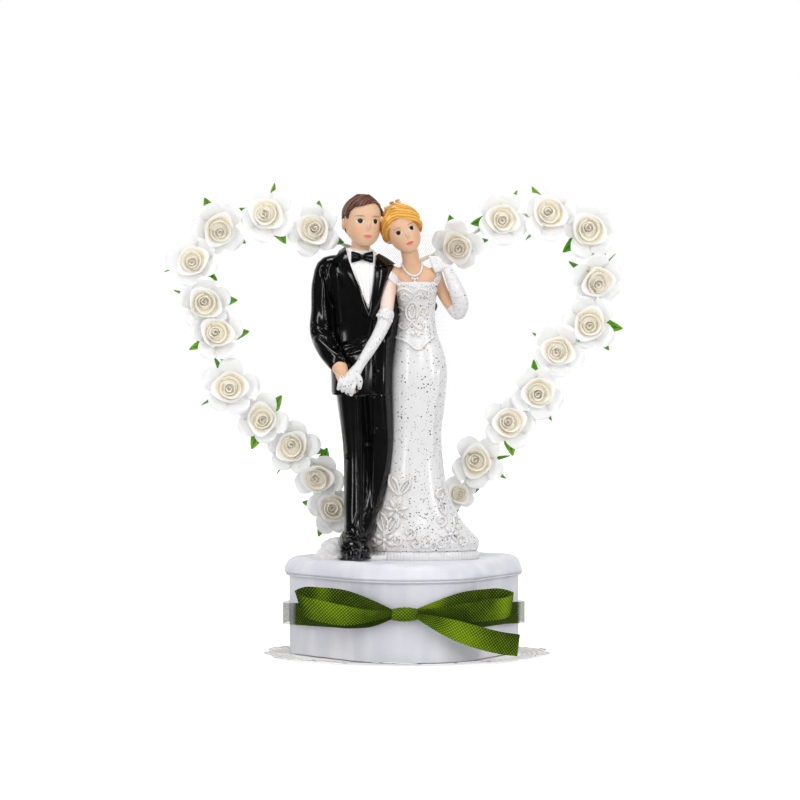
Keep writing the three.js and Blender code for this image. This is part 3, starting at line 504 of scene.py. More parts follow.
def new_material(name, **sockets):
    """A Principled material with plain values on its sockets, its tree, and the place on the piece."""
    material = bpy.data.materials.new(name)
    material.use_nodes = True
    tree = material.node_tree
    for socket, value in sockets.items():
        tree.nodes["Principled BSDF"].inputs[socket.replace("_", " ")].default_value = value
    return material, tree, node(tree, "ShaderNodeTexCoord").outputs["Object"]


def cloth_map(tree):
    """The piece's UV map, in millimetres along the cloth."""
    return node(tree, "ShaderNodeTexCoord").outputs["UV"]


def feed(tree, socket, value):
    tree.links.new(value, tree.nodes["Principled BSDF"].inputs[socket])


def bumped(tree, height, distance, strength=1.0):
    made = node(tree, "ShaderNodeBump", {"Height": height, "Distance": distance * MM, "Strength": strength})
    feed(tree, "Normal", made.outputs[0])


def dimmed(colour, share):
    return tuple(share * c for c in colour)


# What a user would change


def colour_property(name, description, default):
    return bpy.props.FloatVectorProperty(
        name=name, description=description, default=default, subtype="COLOR", size=3, min=0, max=1
    )


def length_property(name, description, default):
    return bpy.props.FloatProperty(
        name=name, description=description, default=default * MM, unit="LENGTH", subtype="DISTANCE", min=0
    )


class BoxLooks(bpy.types.PropertyGroup):
    satin: colour_property("Satin", "Colour of the satin on the box", (0.76, 0.76, 0.81))
    paper: colour_property("Paper", "Colour of the doily", (0.97, 0.96, 0.94))
    ribbon_dark: colour_property("Ribbon shade", "Colour of the ribbon's dull parts", (0.016, 0.034, 0.002))
    # The bright colour is painted sheen.
    ribbon_painted_sheen: colour_property("Ribbon sheen", "Colour of the ribbon where it shines", (0.27, 0.42, 0.01))
    thread_pitch: length_property("Thread pitch", "Distance between two ribbon threads", 1.45)
    ribbon_thickness: length_property("Ribbon thickness", "Thickness of the ribbon", 0.3)
    puff: length_property("Lid padding", "How far the lid's padding swells", 1.1)


class CoupleLooks(bpy.types.PropertyGroup):
    suit: colour_property("Suit", "Colour of the suit's paint", (0.0015, 0.0015, 0.002))
    dress: colour_property("Dress", "Colour of the dress", (0.78, 0.775, 0.78))
    # This colour tints the raised flowers and also serves as the painted shade in the recesses beside them.
    cream: colour_property("Cream", "Tint of the dress's raised flowers", (0.72, 0.66, 0.57))
    skin: colour_property("Skin", "Colour of the skin", (0.73, 0.49, 0.32))
    brown_hair: colour_property("Brown hair", "Colour of the short hair", (0.06, 0.024, 0.016))
    golden_hair: colour_property("Golden hair", "Colour of the long hair", (0.8, 0.32, 0.04))
    fleck_spacing: length_property("Fleck spacing", "Distance between the glitter flecks", 1.3)


class ArchLooks(bpy.types.PropertyGroup):
    petal: colour_property("Petals", "Colour of the outer petals", (0.98, 0.985, 0.985))
    ivory: colour_property("Ivory", "Colour inside the roses", (0.93, 0.84, 0.61))
    leaf: colour_property("Leaves", "Colour of the leaves", (0.12, 0.45, 0.015))
    wire: colour_property("Wire", "Colour of the wire's paper wrap", (0.8, 0.83, 0.7))
    paper_thickness: length_property("Petal thickness", "Thickness of the petals' paper", 0.22)


# Materials


def satin_material():
    looks = bpy.context.scene.topper_box
    material, tree, spot = new_material("Satin", Roughness=0.42, Sheen_Weight=0.25, Specular_IOR_Level=0.35)
    folds = noise(tree, stretched(tree, spot, (1, 1, 0.18)), 90.0)
    # Painted shade: the satin's colour darkens along the same stretched noise that raises its folds.
    shade = tuple(c * f for c, f in zip(looks.satin, (0.87, 0.87, 0.9)))
    feed(tree, "Base Color", blend(tree, ramp(tree, folds, 0.35, 0.7), shade, looks.satin))
    threads = placed(tree, "Thread weave", stretched(tree, spot, (1000, 700, 1000)), Pitch=0.5)
    bumped(tree, sums(tree, "MULTIPLY_ADD", threads["Height"], 0.06, folds), 0.35, 0.6)
    return material


def ribbon_material():
    looks = bpy.context.scene.topper_box
    material, tree, spot = new_material("Woven ribbon", Roughness=0.6, Specular_IOR_Level=0.06)
    threads = placed(tree, "Thread weave", cloth_map(tree), Pitch=looks.thread_pitch / MM)
    # Painted sheen: a number on each vertex moves the colour from the dull ribbon colour to the bright one,
    # where the ribbon would catch light.
    shine = attribute(tree, "shine")
    dots = sums(tree, "POWER", threads["Over"], 3.0)
    dots = sums(tree, "MULTIPLY", dots, sums(tree, "MULTIPLY_ADD", shine, 0.9, 0.5))
    plain = sums(tree, "MULTIPLY_ADD", shine, 0.5, -0.3)
    mottle = sums(tree, "MULTIPLY_ADD", noise(tree, spot, 260.0), 0.3, plain)
    share = sums(tree, "ADD", dots, mottle, clamp=True)
    feed(tree, "Base Color", blend(tree, share, looks.ribbon_dark, looks.ribbon_painted_sheen))
    feed(tree, "Alpha", sums(tree, "SUBTRACT", 1.0, attribute(tree, "sheer")))
    bumped(tree, threads["Height"], 0.2)
    return material


def doily_material():
    """Embossed lace paper, pierced in rings outside the plain middle."""
    looks = bpy.context.scene.topper_box
    material, tree, spot = new_material("Doily paper", Roughness=0.85, Specular_IOR_Level=0.15)
    fibre = placed(tree, "Paper fibre", spot, Fineness=1800.0)
    apart = split(tree, spot)
    flat = node(tree, "ShaderNodeCombineXYZ", {0: apart["X"], 1: apart["Y"]}).outputs[0]
    reach = node(tree, "ShaderNodeVectorMath", {0: flat}, operation="LENGTH").outputs["Value"]
    turn = sums(tree, "ARCTAN2", apart["Y"], apart["X"])
    spokes = sums(tree, "COSINE", sums(tree, "MULTIPLY", turn, lace_spokes))
    rings = sums(tree, "COSINE", sums(tree, "MULTIPLY", reach, 2 * math.pi / lace_ring_gap))
    lace = sums(tree, "MULTIPLY", spokes, rings)
    border = ramp(tree, reach, plain_middle, plain_middle + 0.002)
    holes = sums(tree, "MULTIPLY", ramp(tree, lace, 0.3, 0.5), border)
    feed(tree, "Alpha", sums(tree, "SUBTRACT", 1.0, holes))
    feed(tree, "Base Color", blend(tree, fibre["Mottle"], dimmed(looks.paper, 0.95), looks.paper))
    raised = sums(tree, "MULTIPLY", lace, border)
    bumped(tree, sums(tree, "MULTIPLY_ADD", raised, 0.8, fibre["Height"]), 0.05)
    return material


def petal_material():
    looks = bpy.context.scene.topper_arch
    material, tree, spot = new_material(
        "Rose paper", Roughness=0.7, Specular_IOR_Level=0.25, Subsurface_Weight=0.3,
        Subsurface_Scale=1.5 * MM, Subsurface_Radius=(1, 1, 0.9)
    )
    fibre = placed(tree, "Paper fibre", spot, Fineness=2200.0)
    plain = blend(tree, fibre["Mottle"], dimmed(looks.petal, 0.97), looks.petal)
    inside = blend(tree, fibre["Mottle"], looks.ivory, dimmed(looks.ivory, 0.9))
    feed(tree, "Base Color", blend(tree, attribute(tree, "ivory"), plain, inside))
    bumped(tree, fibre["Height"], 0.06)
    return material


def leaf_material():
    looks = bpy.context.scene.topper_arch
    material, tree, spot = new_material("Leaf paper", Roughness=0.5, Specular_IOR_Level=0.35)
    veins = attribute(tree, "vein")
    batch = ramp(tree, noise(tree, spot, 45.0, 0.0), 0.4, 0.62)
    green = blend(tree, batch, looks.leaf, (0.24, 0.56, 0.02))
    share = sums(tree, "MULTIPLY_ADD", noise(tree, spot, 500.0), 0.4, veins, clamp=True)
    feed(tree, "Base Color", blend(tree, share, green, dimmed(looks.leaf, 0.45)))
    bumped(tree, sums(tree, "MULTIPLY", veins, -1.0), 0.15)
    return material


def wire_material():
    looks = bpy.context.scene.topper_arch
    material, tree, spot = new_material("Paper-wrapped wire", Roughness=0.7)
    wrap = node(tree, "ShaderNodeTexWave", {"Vector": spot, "Scale": 420.0, "Distortion": 2.0}).outputs["Fac"]
    feed(tree, "Base Color", blend(tree, wrap, dimmed(looks.wire, 0.75), looks.wire))
    bumped(tree, wrap, 0.1)
    return material


def mottled_material(name, rough, scale, detail, dark, light, height):
    """Plain paper, card or foam, uneven between two colours."""
    material, tree, spot = new_material(name, Roughness=rough)
    mottle = noise(tree, spot, scale, detail)
    feed(tree, "Base Color", blend(tree, mottle, dark, light))
    bumped(tree, mottle, height)
    return material


def suit_material():
    looks = bpy.context.scene.topper_couple
    material, tree, spot = new_material(
        "Black gloss paint", Specular_IOR_Level=0.4, Coat_Weight=0.35, Coat_Roughness=0.05
    )
    brush = placed(tree, "Brushed paint", spot, Size=140.0)
    worn = tuple(c + 0.002 for c in looks.suit)
    feed(tree, "Base Color", blend(tree, brush["Tone"], looks.suit, worn))
    feed(tree, "Roughness", sums(tree, "MULTIPLY_ADD", brush["Tone"], 0.1, 0.13))
    bumped(tree, brush["Height"], 0.02, 0.35)
    return material


def white_paint_material(name="Pearl paint", with_flecks=True, colour=None):
    looks = bpy.context.scene.topper_couple
    colour = colour or looks.dress
    material, tree, spot = new_material(
        name, Specular_IOR_Level=0.28, Coat_Weight=0.75, Coat_Roughness=0.14
    )
    brush = placed(tree, "Brushed paint", spot, Size=120.0)
    base = blend(tree, brush["Tone"], dimmed(colour, 0.95), colour)
    # The attribute read here gives both a tint and painted shade in the recesses.
    base = blend(tree, attribute(tree, "cream"), base, looks.cream)
    if with_flecks:
        patches = ramp(tree, noise(tree, spot, 60.0, 1.0), 0.3, 0.7)
        share = sums(tree, "MULTIPLY_ADD", patches, 0.3, attribute(tree, "glitter"))
        found = placed(tree, "Glitter flecks", spot, Spacing=1 / looks.fleck_spacing, Share=share)
        base = blend(tree, found["Mask"], base, (0.012, 0.012, 0.014))
        feed(tree, "Roughness", sums(tree, "MULTIPLY_ADD", brush["Tone"], 0.15, 0.22))
    feed(tree, "Base Color", base)
    cells = node(tree, "ShaderNodeTexVoronoi", {"Vector": spot, "Scale": 620.0}, feature="SMOOTH_F1")
    lace = sums(tree, "MULTIPLY", cells.outputs["Distance"], attribute(tree, "lace"))
    bumped(tree, sums(tree, "MULTIPLY_ADD", lace, 5.0, brush["Height"]), 0.12, 0.8)
    return material


def skin_material():
    """One skin paint for the whole couple."""
    found = bpy.data.materials.get("Skin paint")
    if found:
        return found
    material, tree, spot = new_material(
        "Skin paint", Roughness=0.38, Specular_IOR_Level=0.45,
        Subsurface_Weight=0.08, Subsurface_Scale=1.0 * MM
    )
    brush = placed(tree, "Brushed paint", spot, Size=220.0)
    colour = attribute(tree, "paint", "Color")
    mixed = blend(tree, brush["Tone"], colour, (0.98, 0.9, 0.86), blend_type="MULTIPLY")
    feed(tree, "Base Color", mixed)
    bumped(tree, brush["Height"], 0.04, 0.4)
    return material


def hair_material(name, colour, painted_highlight):
    material, tree, spot = new_material(name, Roughness=0.36, Specular_IOR_Level=0.3)
    brush = placed(tree, "Brushed paint", spot, Size=300.0)
    # Painted highlight: the lighter colour follows the raised strands of the hair.
    share = sums(tree, "MULTIPLY_ADD", brush["Tone"], 0.2, attribute(tree, "strand"), clamp=True)
    feed(tree, "Base Color", blend(tree, share, colour, painted_highlight))
    bumped(tree, brush["Height"], 0.05, 0.4)
    return material


def gold_material():
    material, tree, spot = new_material("Antique gold paint", Metallic=0.3, Roughness=0.4)
    brush = placed(tree, "Brushed paint", spot, Size=500.0)
    tone = ramp(tree, brush["Tone"], 0.35, 0.65)
    feed(tree, "Base Color", blend(tree, tone, (0.5, 0.24, 0.08), (0.95, 0.76, 0.45)))
    bumped(tree, brush["Height"], 0.08)
    return material


def tulle_material():
    material, tree, spot = new_material("Tulle", Roughness=0.7, Sheen_Weight=0.3)
    threads = placed(tree, "Thread weave", cloth_map(tree), Pitch=1.1)
    feed(tree, "Base Color", blend(tree, noise(tree, spot, 300.0), (0.95, 0.95, 0.96), (0.98, 0.98, 1.0)))
    net = sums(tree, "MULTIPLY_ADD", ramp(tree, threads["Height"], 0.55, 1.15), 0.16, 0.03)
    feed(tree, "Alpha", sums(tree, "MULTIPLY", net, attribute(tree, "fade")))
    return material


# The heart box

heart_width = 96
# The centre of a lobe, the centre of the tip's arc and its radius, as shares of the width
lobe_x, lobe_up, tip_down, tip_round = 0.2083, 0.1042, 0.2292, 0.3125
wall_inset, piping_out, lid_overhang, ribbon_slack = 0.12, 0.85, 2, 2
outline_points = 260
doily_radius, doily_thickness = 60, 0.22
# The doily's lace, in metres
lace_spokes, lace_ring_gap, plain_middle = 72.0, 0.0042, 0.047
# The lid's edge from the wall up to its flat top: how far outwards, and how high
lid_edge = [
    (-1.4, 0), (-0.4, 0.1), (0, 0.5), (0, 1.4), (-0.15, 2.4),
    (-0.6, 3.4), (-1.4, 4.5), (-2.6, 5.4), (-4.2, 5.9), (-6, 6),
]


def heart_outline(offset, slack=0.0, bridged=False, fine=4):
    """The box's heart moved outwards, as x and y, from the tip anticlockwise."""
    spread, lobe_y, tip_y = lobe_x * heart_width, lobe_up * heart_width, -tip_down * heart_width
    lobe, tip = heart_width / 2 - spread + offset + slack, tip_round * heart_width + offset
    rise = lobe_y - tip_y
    touch = math.atan2(rise, spread) - math.acos((tip - lobe) / math.hypot(spread, rise))
    end = math.pi / 2 if bridged else math.pi - math.acos(spread / lobe)
    low = np.linspace(-math.pi / 2, touch, 8 * fine)
    high = np.linspace(touch, end, 16 * fine)
    right = [(tip * math.cos(a), tip_y + tip * math.sin(a)) for a in low]
    right += [(spread + lobe * math.cos(a), lobe_y + lobe * math.sin(a)) for a in high]
    if bridged:
        right += [(x, lobe_y + lobe) for x in np.linspace(spread, 0, 3 * fine)[1:]]
    left = [(-x, y) for x, y in reversed(right)]
    return np.array(right + left[1:])


def even(outline, count=outline_points):
    """The same closed line with evenly spaced points, its end on its start."""
    at = travelled(outline)
    t = np.linspace(0, at[-1], count)
    return np.column_stack([np.interp(t, at, outline[:, k]) for k in range(outline.shape[1])])


def ringed(outline, z):
    return np.column_stack([outline, np.full(len(outline), z)])


def directions(lean):
    """Level vectors made 1 long."""
    return lean / (np.linalg.norm(lean, axis=1)[:, None] + 1e-9)


def from_edge(p):
    """How far each point lies inside the lid's outline."""
    outline = even(heart_outline(lid_overhang), 200)
    return np.array([np.min(np.linalg.norm(outline - q, axis=1)) for q in p[:, :2]])


def tube_about(outline, z, radius, sides=8):
    """Rows of points round a level line."""
    ahead = np.roll(outline[:-1], -1, axis=0)
    ahead = np.vstack([ahead, ahead[:1]]) - outline
    out = directions(np.column_stack([ahead[:, 1], -ahead[:, 0]]))
    turns = [2 * math.pi * s / sides for s in range(sides + 1)]
    return np.array([ringed(outline + out * radius * math.cos(a), z + radius * math.sin(a)) for a in turns])


class BuildBox(bpy.types.Operator):
    """Builds the doily, the satin wall, the padded lid and its piping"""

    bl_idname = "topper.build_box"
    bl_label = "Heart box"

    def execute(self, context):
        satin = satin_material()
        self.doily()
        self.wall(satin)
        self.lid(satin)
        self.piping(satin)
        self.inside()
        return {"FINISHED"}

    def doily(self):
        paper = doily_material()
        rings, spokes, middle = 30, 288, 3
        angle = np.linspace(0, 2 * math.pi, spokes + 1)
        scallop = np.abs(np.sin(12 * angle))
        rows = []
        for r in range(rings):
            share = r / (rings - 1)
            reach = (middle + (doily_radius - middle) * share) * (1 - 0.033 * share**6 * (1 - scallop))
            lift = 0.25 + 1.4 * share**8 * (0.4 + 0.6 * np.sin(5 * angle + 1) ** 2)
            rows.append(np.column_stack([reach * np.cos(angle), reach * np.sin(angle), lift]))
        form = woven("lace_doily", np.array(rows))
        thicken(form, doily_thickness)
        seal(form)
        keep(form, paper, "doily_paper", "doily")

    def wall(self, satin):
        outline = even(heart_outline(-wall_inset))
        heights = np.linspace(box_bottom, lid_bottom, 26)
        p = np.array([ringed(outline, z) for z in heights])
        flat = p.reshape(-1, 3)
        out = directions(np.tile(even(heart_outline(piping_out)) - outline, (len(heights), 1)))
        pull = 0.28 * ripple(flat * (1, 1, 0.22), 17, 3) + 0.1 * ripple(flat * (1, 1, 0.4), 7, 4)
        share = (flat[:, 2] - box_bottom) / (lid_bottom - box_bottom)
        pull -= 0.5 * hump(share, 0, 0.06)
        flat[:, :2] += out * np.clip(pull, -0.6, 0.12)[:, None]
        form = seal(woven("satin_wall", p))
        thicken(form, 0.5, -1)
        keep(form, satin, "satin", "base_wrap")

    def lid(self, satin):
        puff = bpy.context.scene.topper_box.puff / MM
        rim = drawn(lid_edge, 22)[:, [0, 2]]
        rings = [ringed(even(heart_outline(lid_overhang + out)), lid_bottom + up) for out, up in rim]
        middle = np.array([0.0, -4.0])
        edge = rings[-1][:, :2]
        rings += [ringed(middle + (edge - middle) * share, lid_top) for share in np.linspace(1, 0.02, 26)[1:]]
        p = np.array(rings)
        flat = p.reshape(-1, 3)
        depth = np.minimum(from_edge(flat), 12) / 12
        wave = ripple(flat * (1, 1, 0), 34, 8)
        low, top = box_mm("figure_plinth")
        beside = (flat[:, :2] - (low + top)[:2] / 2) / ((top - low)[:2] / 2)
        free = np.clip((np.linalg.norm(beside, axis=1) - 1.04) / 0.22, 0, 1)
        high = np.clip((flat[:, 2] - lid_bottom) / 6, 0, 1) ** 2
        swell = puff * (np.sin(depth * math.pi) * (0.7 + 0.45 * wave) + 0.1 * ripple(flat, 9, 9))
        flat[:, 2] += high * (free * swell - 0.05)
        pull = np.clip(0.6 * ripple(flat * (1, 1, 0.3), 24, 10), -0.6, 0.7) - 0.4
        side = hump(flat[:, 2] - lid_bottom, 2.5, 2.2)
        flat[:, :2] += directions(flat[:, :2] - middle) * (side * pull)[:, None]
        form = seal(woven("padded_lid", p), capped=True)
        keep(form, satin, "satin", "lid_cover")

    def piping(self, satin):
        form = woven("lid_piping_edge", tube_about(even(heart_outline(piping_out)), lid_bottom - 0.5, 0.5))
        modify(form, "WELD", merge_threshold=0.001 * MM)
        keep(seal(form), satin, "satin", "lid_piping")

    def inside(self):
        """Gives the hidden boards and foam looks of their own. Their solids stay."""
        grey, white = (0.6, 0.5, 0.38), (0.9, 0.9, 0.88)
        card = mottled_material("Grey card", 0.9, 300.0, 4.0, dimmed(grey, 0.85), grey, 0.2)
        foam = mottled_material("Rigid foam", 0.9, 900.0, 4.0, dimmed(white, 0.85), white, 0.2)
        for name, looks in (("base_board", card), ("lid_board", card), ("base_core", foam)):
            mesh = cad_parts[name].data
            mesh.materials.clear()
            mesh.materials.append(looks)


# The ribbon


def band_front(x):
    """The front of the ribbon band at a place along x."""
    outline = heart_outline(0.8, ribbon_slack, True)
    widest = outline[:, 0].max()
    across = min(max(x, -widest), widest)
    found = [
        a[1] + (b[1] - a[1]) * (across - a[0]) / (b[0] - a[0])
        for a, b in zip(outline, outline[1:])
        if a[0] != b[0] and (a[0] - across) * (b[0] - across) <= 0
    ]
    return min(found)


# Each row: x of the centre, how far it stands off the band, z, and the half width as x, y and z, all as
# shares of the bow's width
left_loop_shares = [
    (-0.052, 0.035, 0.047, 0, 0.002, 0.013),
    (-0.14, 0.058, 0.07, 0.002, 0.01, 0.03),
    (-0.24, 0.131, 0.092, 0.002, 0.014, 0.043),
    (-0.34, 0.231, 0.1, 0, 0.014, 0.044),
    (-0.41, 0.303, 0.096, -0.008, 0.008, 0.046),
    (-0.436, 0.36, 0.086, -0.014, 0, 0.044),
    (-0.42, 0.359, 0.07, -0.01, -0.004, 0.045),
    (-0.35, 0.297, 0.05, -0.002, -0.006, 0.046),
    (-0.25, 0.197, 0.034, 0, -0.006, 0.042),
    (-0.15, 0.107, 0.034, 0, -0.004, 0.026),
    (-0.052, 0.057, 0.045, 0, 0, 0.012),
]
right_loop_shares = [
    (0.052, 0.016, 0.048, 0, 0.002, 0.013),
    (0.14, 0.02, 0.066, 0, 0.01, 0.028),
    (0.24, 0.026, 0.082, 0, 0.014, 0.042),
    (0.34, 0.068, 0.088, 0, 0.014, 0.045),
    (0.44, 0.178, 0.084, 0.004, 0.008, 0.046),
    (0.474, 0.232, 0.072, 0.006, 0, 0.046),
    (0.456, 0.233, 0.06, 0.006, -0.004, 0.045),
    (0.37, 0.151, 0.05, 0.002, -0.006, 0.046),
    (0.26, 0.067, 0.044, 0, -0.006, 0.04),
    (0.15, 0.045, 0.044, 0, -0.004, 0.024),
    (0.052, 0.036, 0.046, 0, 0, 0.012),
]
left_tail_shares = [
    (-0.052, 0.021, 0.03, 0, 0, 0.012),
    (-0.12, 0.025, 0.02, 0, 0, 0.032),
    (-0.2, 0.023, 0.017, 0, 0, 0.044),
    (-0.29, 0.019, 0.014, 0, 0, 0.046),
    (-0.36, 0.019, 0.011, 0, 0, 0.046),
    (-0.425, 0.02, 0.009, 0, 0, 0.046),
]
right_tail_shares = [
    (0.05, 0.051, 0.034, 0, 0, 0.012),
    (0.13, 0.069, 0.004, 0.004, -0.004, 0.03),
    (0.21, 0.091, -0.026, 0.006, -0.004, 0.042),
    (0.3, 0.142, -0.056, 0.008, -0.002, 0.046),
    (0.4, 0.254, -0.084, 0.008, 0, 0.046),
    (0.49, 0.348, -0.1, 0.006, 0, 0.046),
]
bow_width, bow_x, ribbon_z = 96, -5.5, 17


class BuildRibbon(bpy.types.Operator):
    """Builds the ribbon round the box and its bow"""

    bl_idname = "topper.build_ribbon"
    bl_label = "Ribbon and bow"

    def execute(self, context):
        self.looks = ribbon_material()
        self.thickness = bpy.context.scene.topper_box.ribbon_thickness / MM
        self.band()
        self.strip("bow_left_loop", left_loop_shares, 60, "bow_loop_left", self.left_shine)
        self.strip("bow_right_loop", right_loop_shares, 60, "bow_loop_right", self.right_shine)
        self.strip("bow_left_tail", left_tail_shares, 30, "bow_tail_left", lambda t, s: 0.1)
        self.strip("bow_right_tail", right_tail_shares, 36, "bow_tail_right", self.tail_shine)
        self.knot()
        return {"FINISHED"}

    @staticmethod
    def left_shine(t, s):
        """How much painted sheen a strip has, by the share along it and its side, -1 to 1."""
        front = np.clip((t - 0.47) * 10, 0, 1)
        return 0.1 + 0.4 * hump(t, 0.36, 0.05) + 0.75 * front * hump(t, 0.7, 0.17) * (0.75 + 0.25 * s)

    @staticmethod
    def right_shine(t, s):
        end = 0.85 * hump(t, 0.56, 0.045) + 0.45 * hump(t, 0.66, 0.08) * (0.5 - 0.5 * s)
        return 0.12 + end + 0.5 * hump(t, 0.06, 0.07) + 0.1 * s

    @staticmethod
    def tail_shine(t, s):
        return 0.28 + 0.6 * hump(t, 0.42, 0.22) - 0.15 * s

    def cloth(self, name, p, shine, node_name, sheer=0.0):
        form = woven(name, p)
        mark(form, shine=shine, sheer=sheer)
        thicken(form, self.thickness)
        keep(form, self.looks, "ribbon", node_name)
        return form

    def band(self):
        outline = even(heart_outline(0.6, ribbon_slack, True), 400)
        off = np.clip((np.abs(outline[:, 0] - bow_x) - 2.5) / 24, 0, 1)
        ease = np.where(outline[:, 1] < 0, off * off * (3 - 2 * off), 1)
        middle = ribbon_z + 3.4 * (1 - ease) + 1.4 * ease * np.clip((8 - outline[:, 1]) / 24, 0, 1)
        half = 1.5 + 3 * ease
        across = np.linspace(-1, 1, 9)
        p = np.stack([np.column_stack([outline, middle + half * a]) for a in across], axis=1)
        flat = p.reshape(-1, 3)
        sheer = 0.72 * np.clip((np.abs(flat[:, 0]) - 45.0) / 2.5, 0, 1) * (flat[:, 1] < 25)
        self.cloth("ribbon_round_box", p, 0.12, "ribbon_band", sheer)

    def strip(self, name, shares, steps, node_name, shine):
        rows = []
        for along, off, up, *half in shares:
            x = bow_x + along * bow_width
            place = (x, band_front(x) - off * bow_width, ribbon_z + up * bow_width)
            rows.append((*place, *[h * bow_width for h in half]))
        rows = through(rows, steps)
        across = np.linspace(-1, 1, 13)
        crown = 0.35 * (1 - across**2)
        p = np.array([row[:3] + np.outer(across, row[3:]) - np.outer(crown, (0, 1, 0)) for row in rows])
        share = np.repeat(np.linspace(0, 1, steps), len(across))
        self.cloth(name, p, shine(share, np.tile(across, steps)), node_name)

    def knot(self):
        low, high = box_mm("bow_knot")
        centre, radii = (low + high) / 2, (high - low) / 2
        turns, across = 40, 13
        u = np.linspace(-1, 1, across)
        pinch = 0.72 + 0.28 * np.cos(u * math.pi / 2) ** 0.8
        x = centre[0] + 0.92 * radii[0] * u
        rows = []
        for angle in np.linspace(0, 2 * math.pi, turns + 1):
            fold = 1 + 0.05 * np.cos(5 * math.pi * u + 0.8 * math.sin(2 * angle))
            y = centre[1] + radii[1] * 0.95 * pinch * fold * math.sin(angle)
            z = centre[2] + radii[2] * 0.95 * pinch * fold * math.cos(angle)
            rows.append(np.column_stack([x, y, z]))
        seal(self.cloth("bow_wrap", np.array(rows), 0.45, "bow_knot"))


# The arch of roses

arch_x, arch_half, arch_height = -3, 84, 142
arch_y = box_mm("arch_wire")[1][1] - 1
rose_radius, rose_kinds = 10.4, 5
# Open petals: how far out and how high the middle of one runs. The last two places depend on its reach
petal_rise = [(1.2, 0, 0.9), (4.5, 0, 2.3), (7.6, 0, 3.9)]
# Wrapped petals: how many, angle of each, radius, top, how far the rim turns out, its corner, and the lean
wrapped_rows = [
    (2, 4.1, 4.2, 8.2, 1.6, 1.8, 0.5),
    (1, 6.0, 3.0, 9.2, 0.8, 0.6, 1.0),
    (2, 3.5, 1.7, 9.6, 0.4, 0.3, 1.5),
]
leaf_rolls = (15, -62, 35, -20, 70)
# Each rose: x, z, size, tilt to the right, tilt up, turn in degrees and its leaves' directions in degrees
left_roses = [
    (-0.327, 0.138, 0.94, 0.2, 0.1, 10, (180, 260)),
    (-0.366, 0.245, 0.96, -0.2, -0.3, 40, (250, 60)),
    (-0.491, 0.322, 0.98, -0.25, 0, 0, (345, 230)),
    (-0.651, 0.398, 0.96, -0.2, 0.2, 20, (236, 45)),
    (-0.815, 0.499, 1.04, -0.1, 0.1, 50, (215, 105)),
    (-0.884, 0.646, 0.98, 0, 0.25, 5, (10, 212)),
    (-0.948, 0.757, 1, 0, -0.2, 30, (151, 0)),
    (-0.998, 0.869, 0.95, -0.15, 0.12, 60, (318, 200)),
    (-0.884, 0.978, 1, 0.05, -0.2, 15, (115, 335)),
    (-0.62, 1.001, 1.04, -0.2, 0.2, 35, (80, 148, 287)),
    (-0.391, 0.952, 1, -0.25, 0.25, 55, (72, 331)),
]
right_roses = [
    (0.324, 0.926, 0.96, -0.2, -0.2, 25, (95, 3)),
    (0.535, 1, 0.98, 0.05, 0, 45, (54, 190)),
    (0.777, 1.003, 1.04, 0, 0.2, 0, (125, 235)),
    (0.978, 0.965, 1.04, -0.05, -0.05, 30, (214, 300)),
    (0.999, 0.826, 1, 0.2, -0.2, 60, (70, 151)),
    (0.989, 0.69, 1.03, -0.15, 0, 10, (344, 302)),
    (0.837, 0.61, 0.98, -0.2, 0, 40, (128, 21)),
    (0.712, 0.485, 1, 0.08, 0, 20, (106, 312)),
    (0.566, 0.388, 1, 0.1, 0.1, 50, (61, 285)),
    (0.425, 0.279, 1, -0.15, 0, 15, (11, 312)),
    (0.325, 0.181, 0.66, -0.1, 0.1, 35, (10, 262)),
]
notch = [(-0.16, 0.9), (0.04, 0.85), (0.17, 0.885)]


def on_wire(x, z):
    return np.array([arch_x + x * arch_half, arch_y, lid_top + z * arch_height])


def about_z(angle):
    return Matrix.Rotation(math.radians(angle), 4, "Z")


def disc_grid(side):
    """A square grid bent into a disc, as across and along."""
    s, t = np.meshgrid(np.linspace(-1, 1, side), np.linspace(-1, 1, side))
    return s * np.sqrt(1 - t**2 / 2), t * np.sqrt(1 - s**2 / 2)


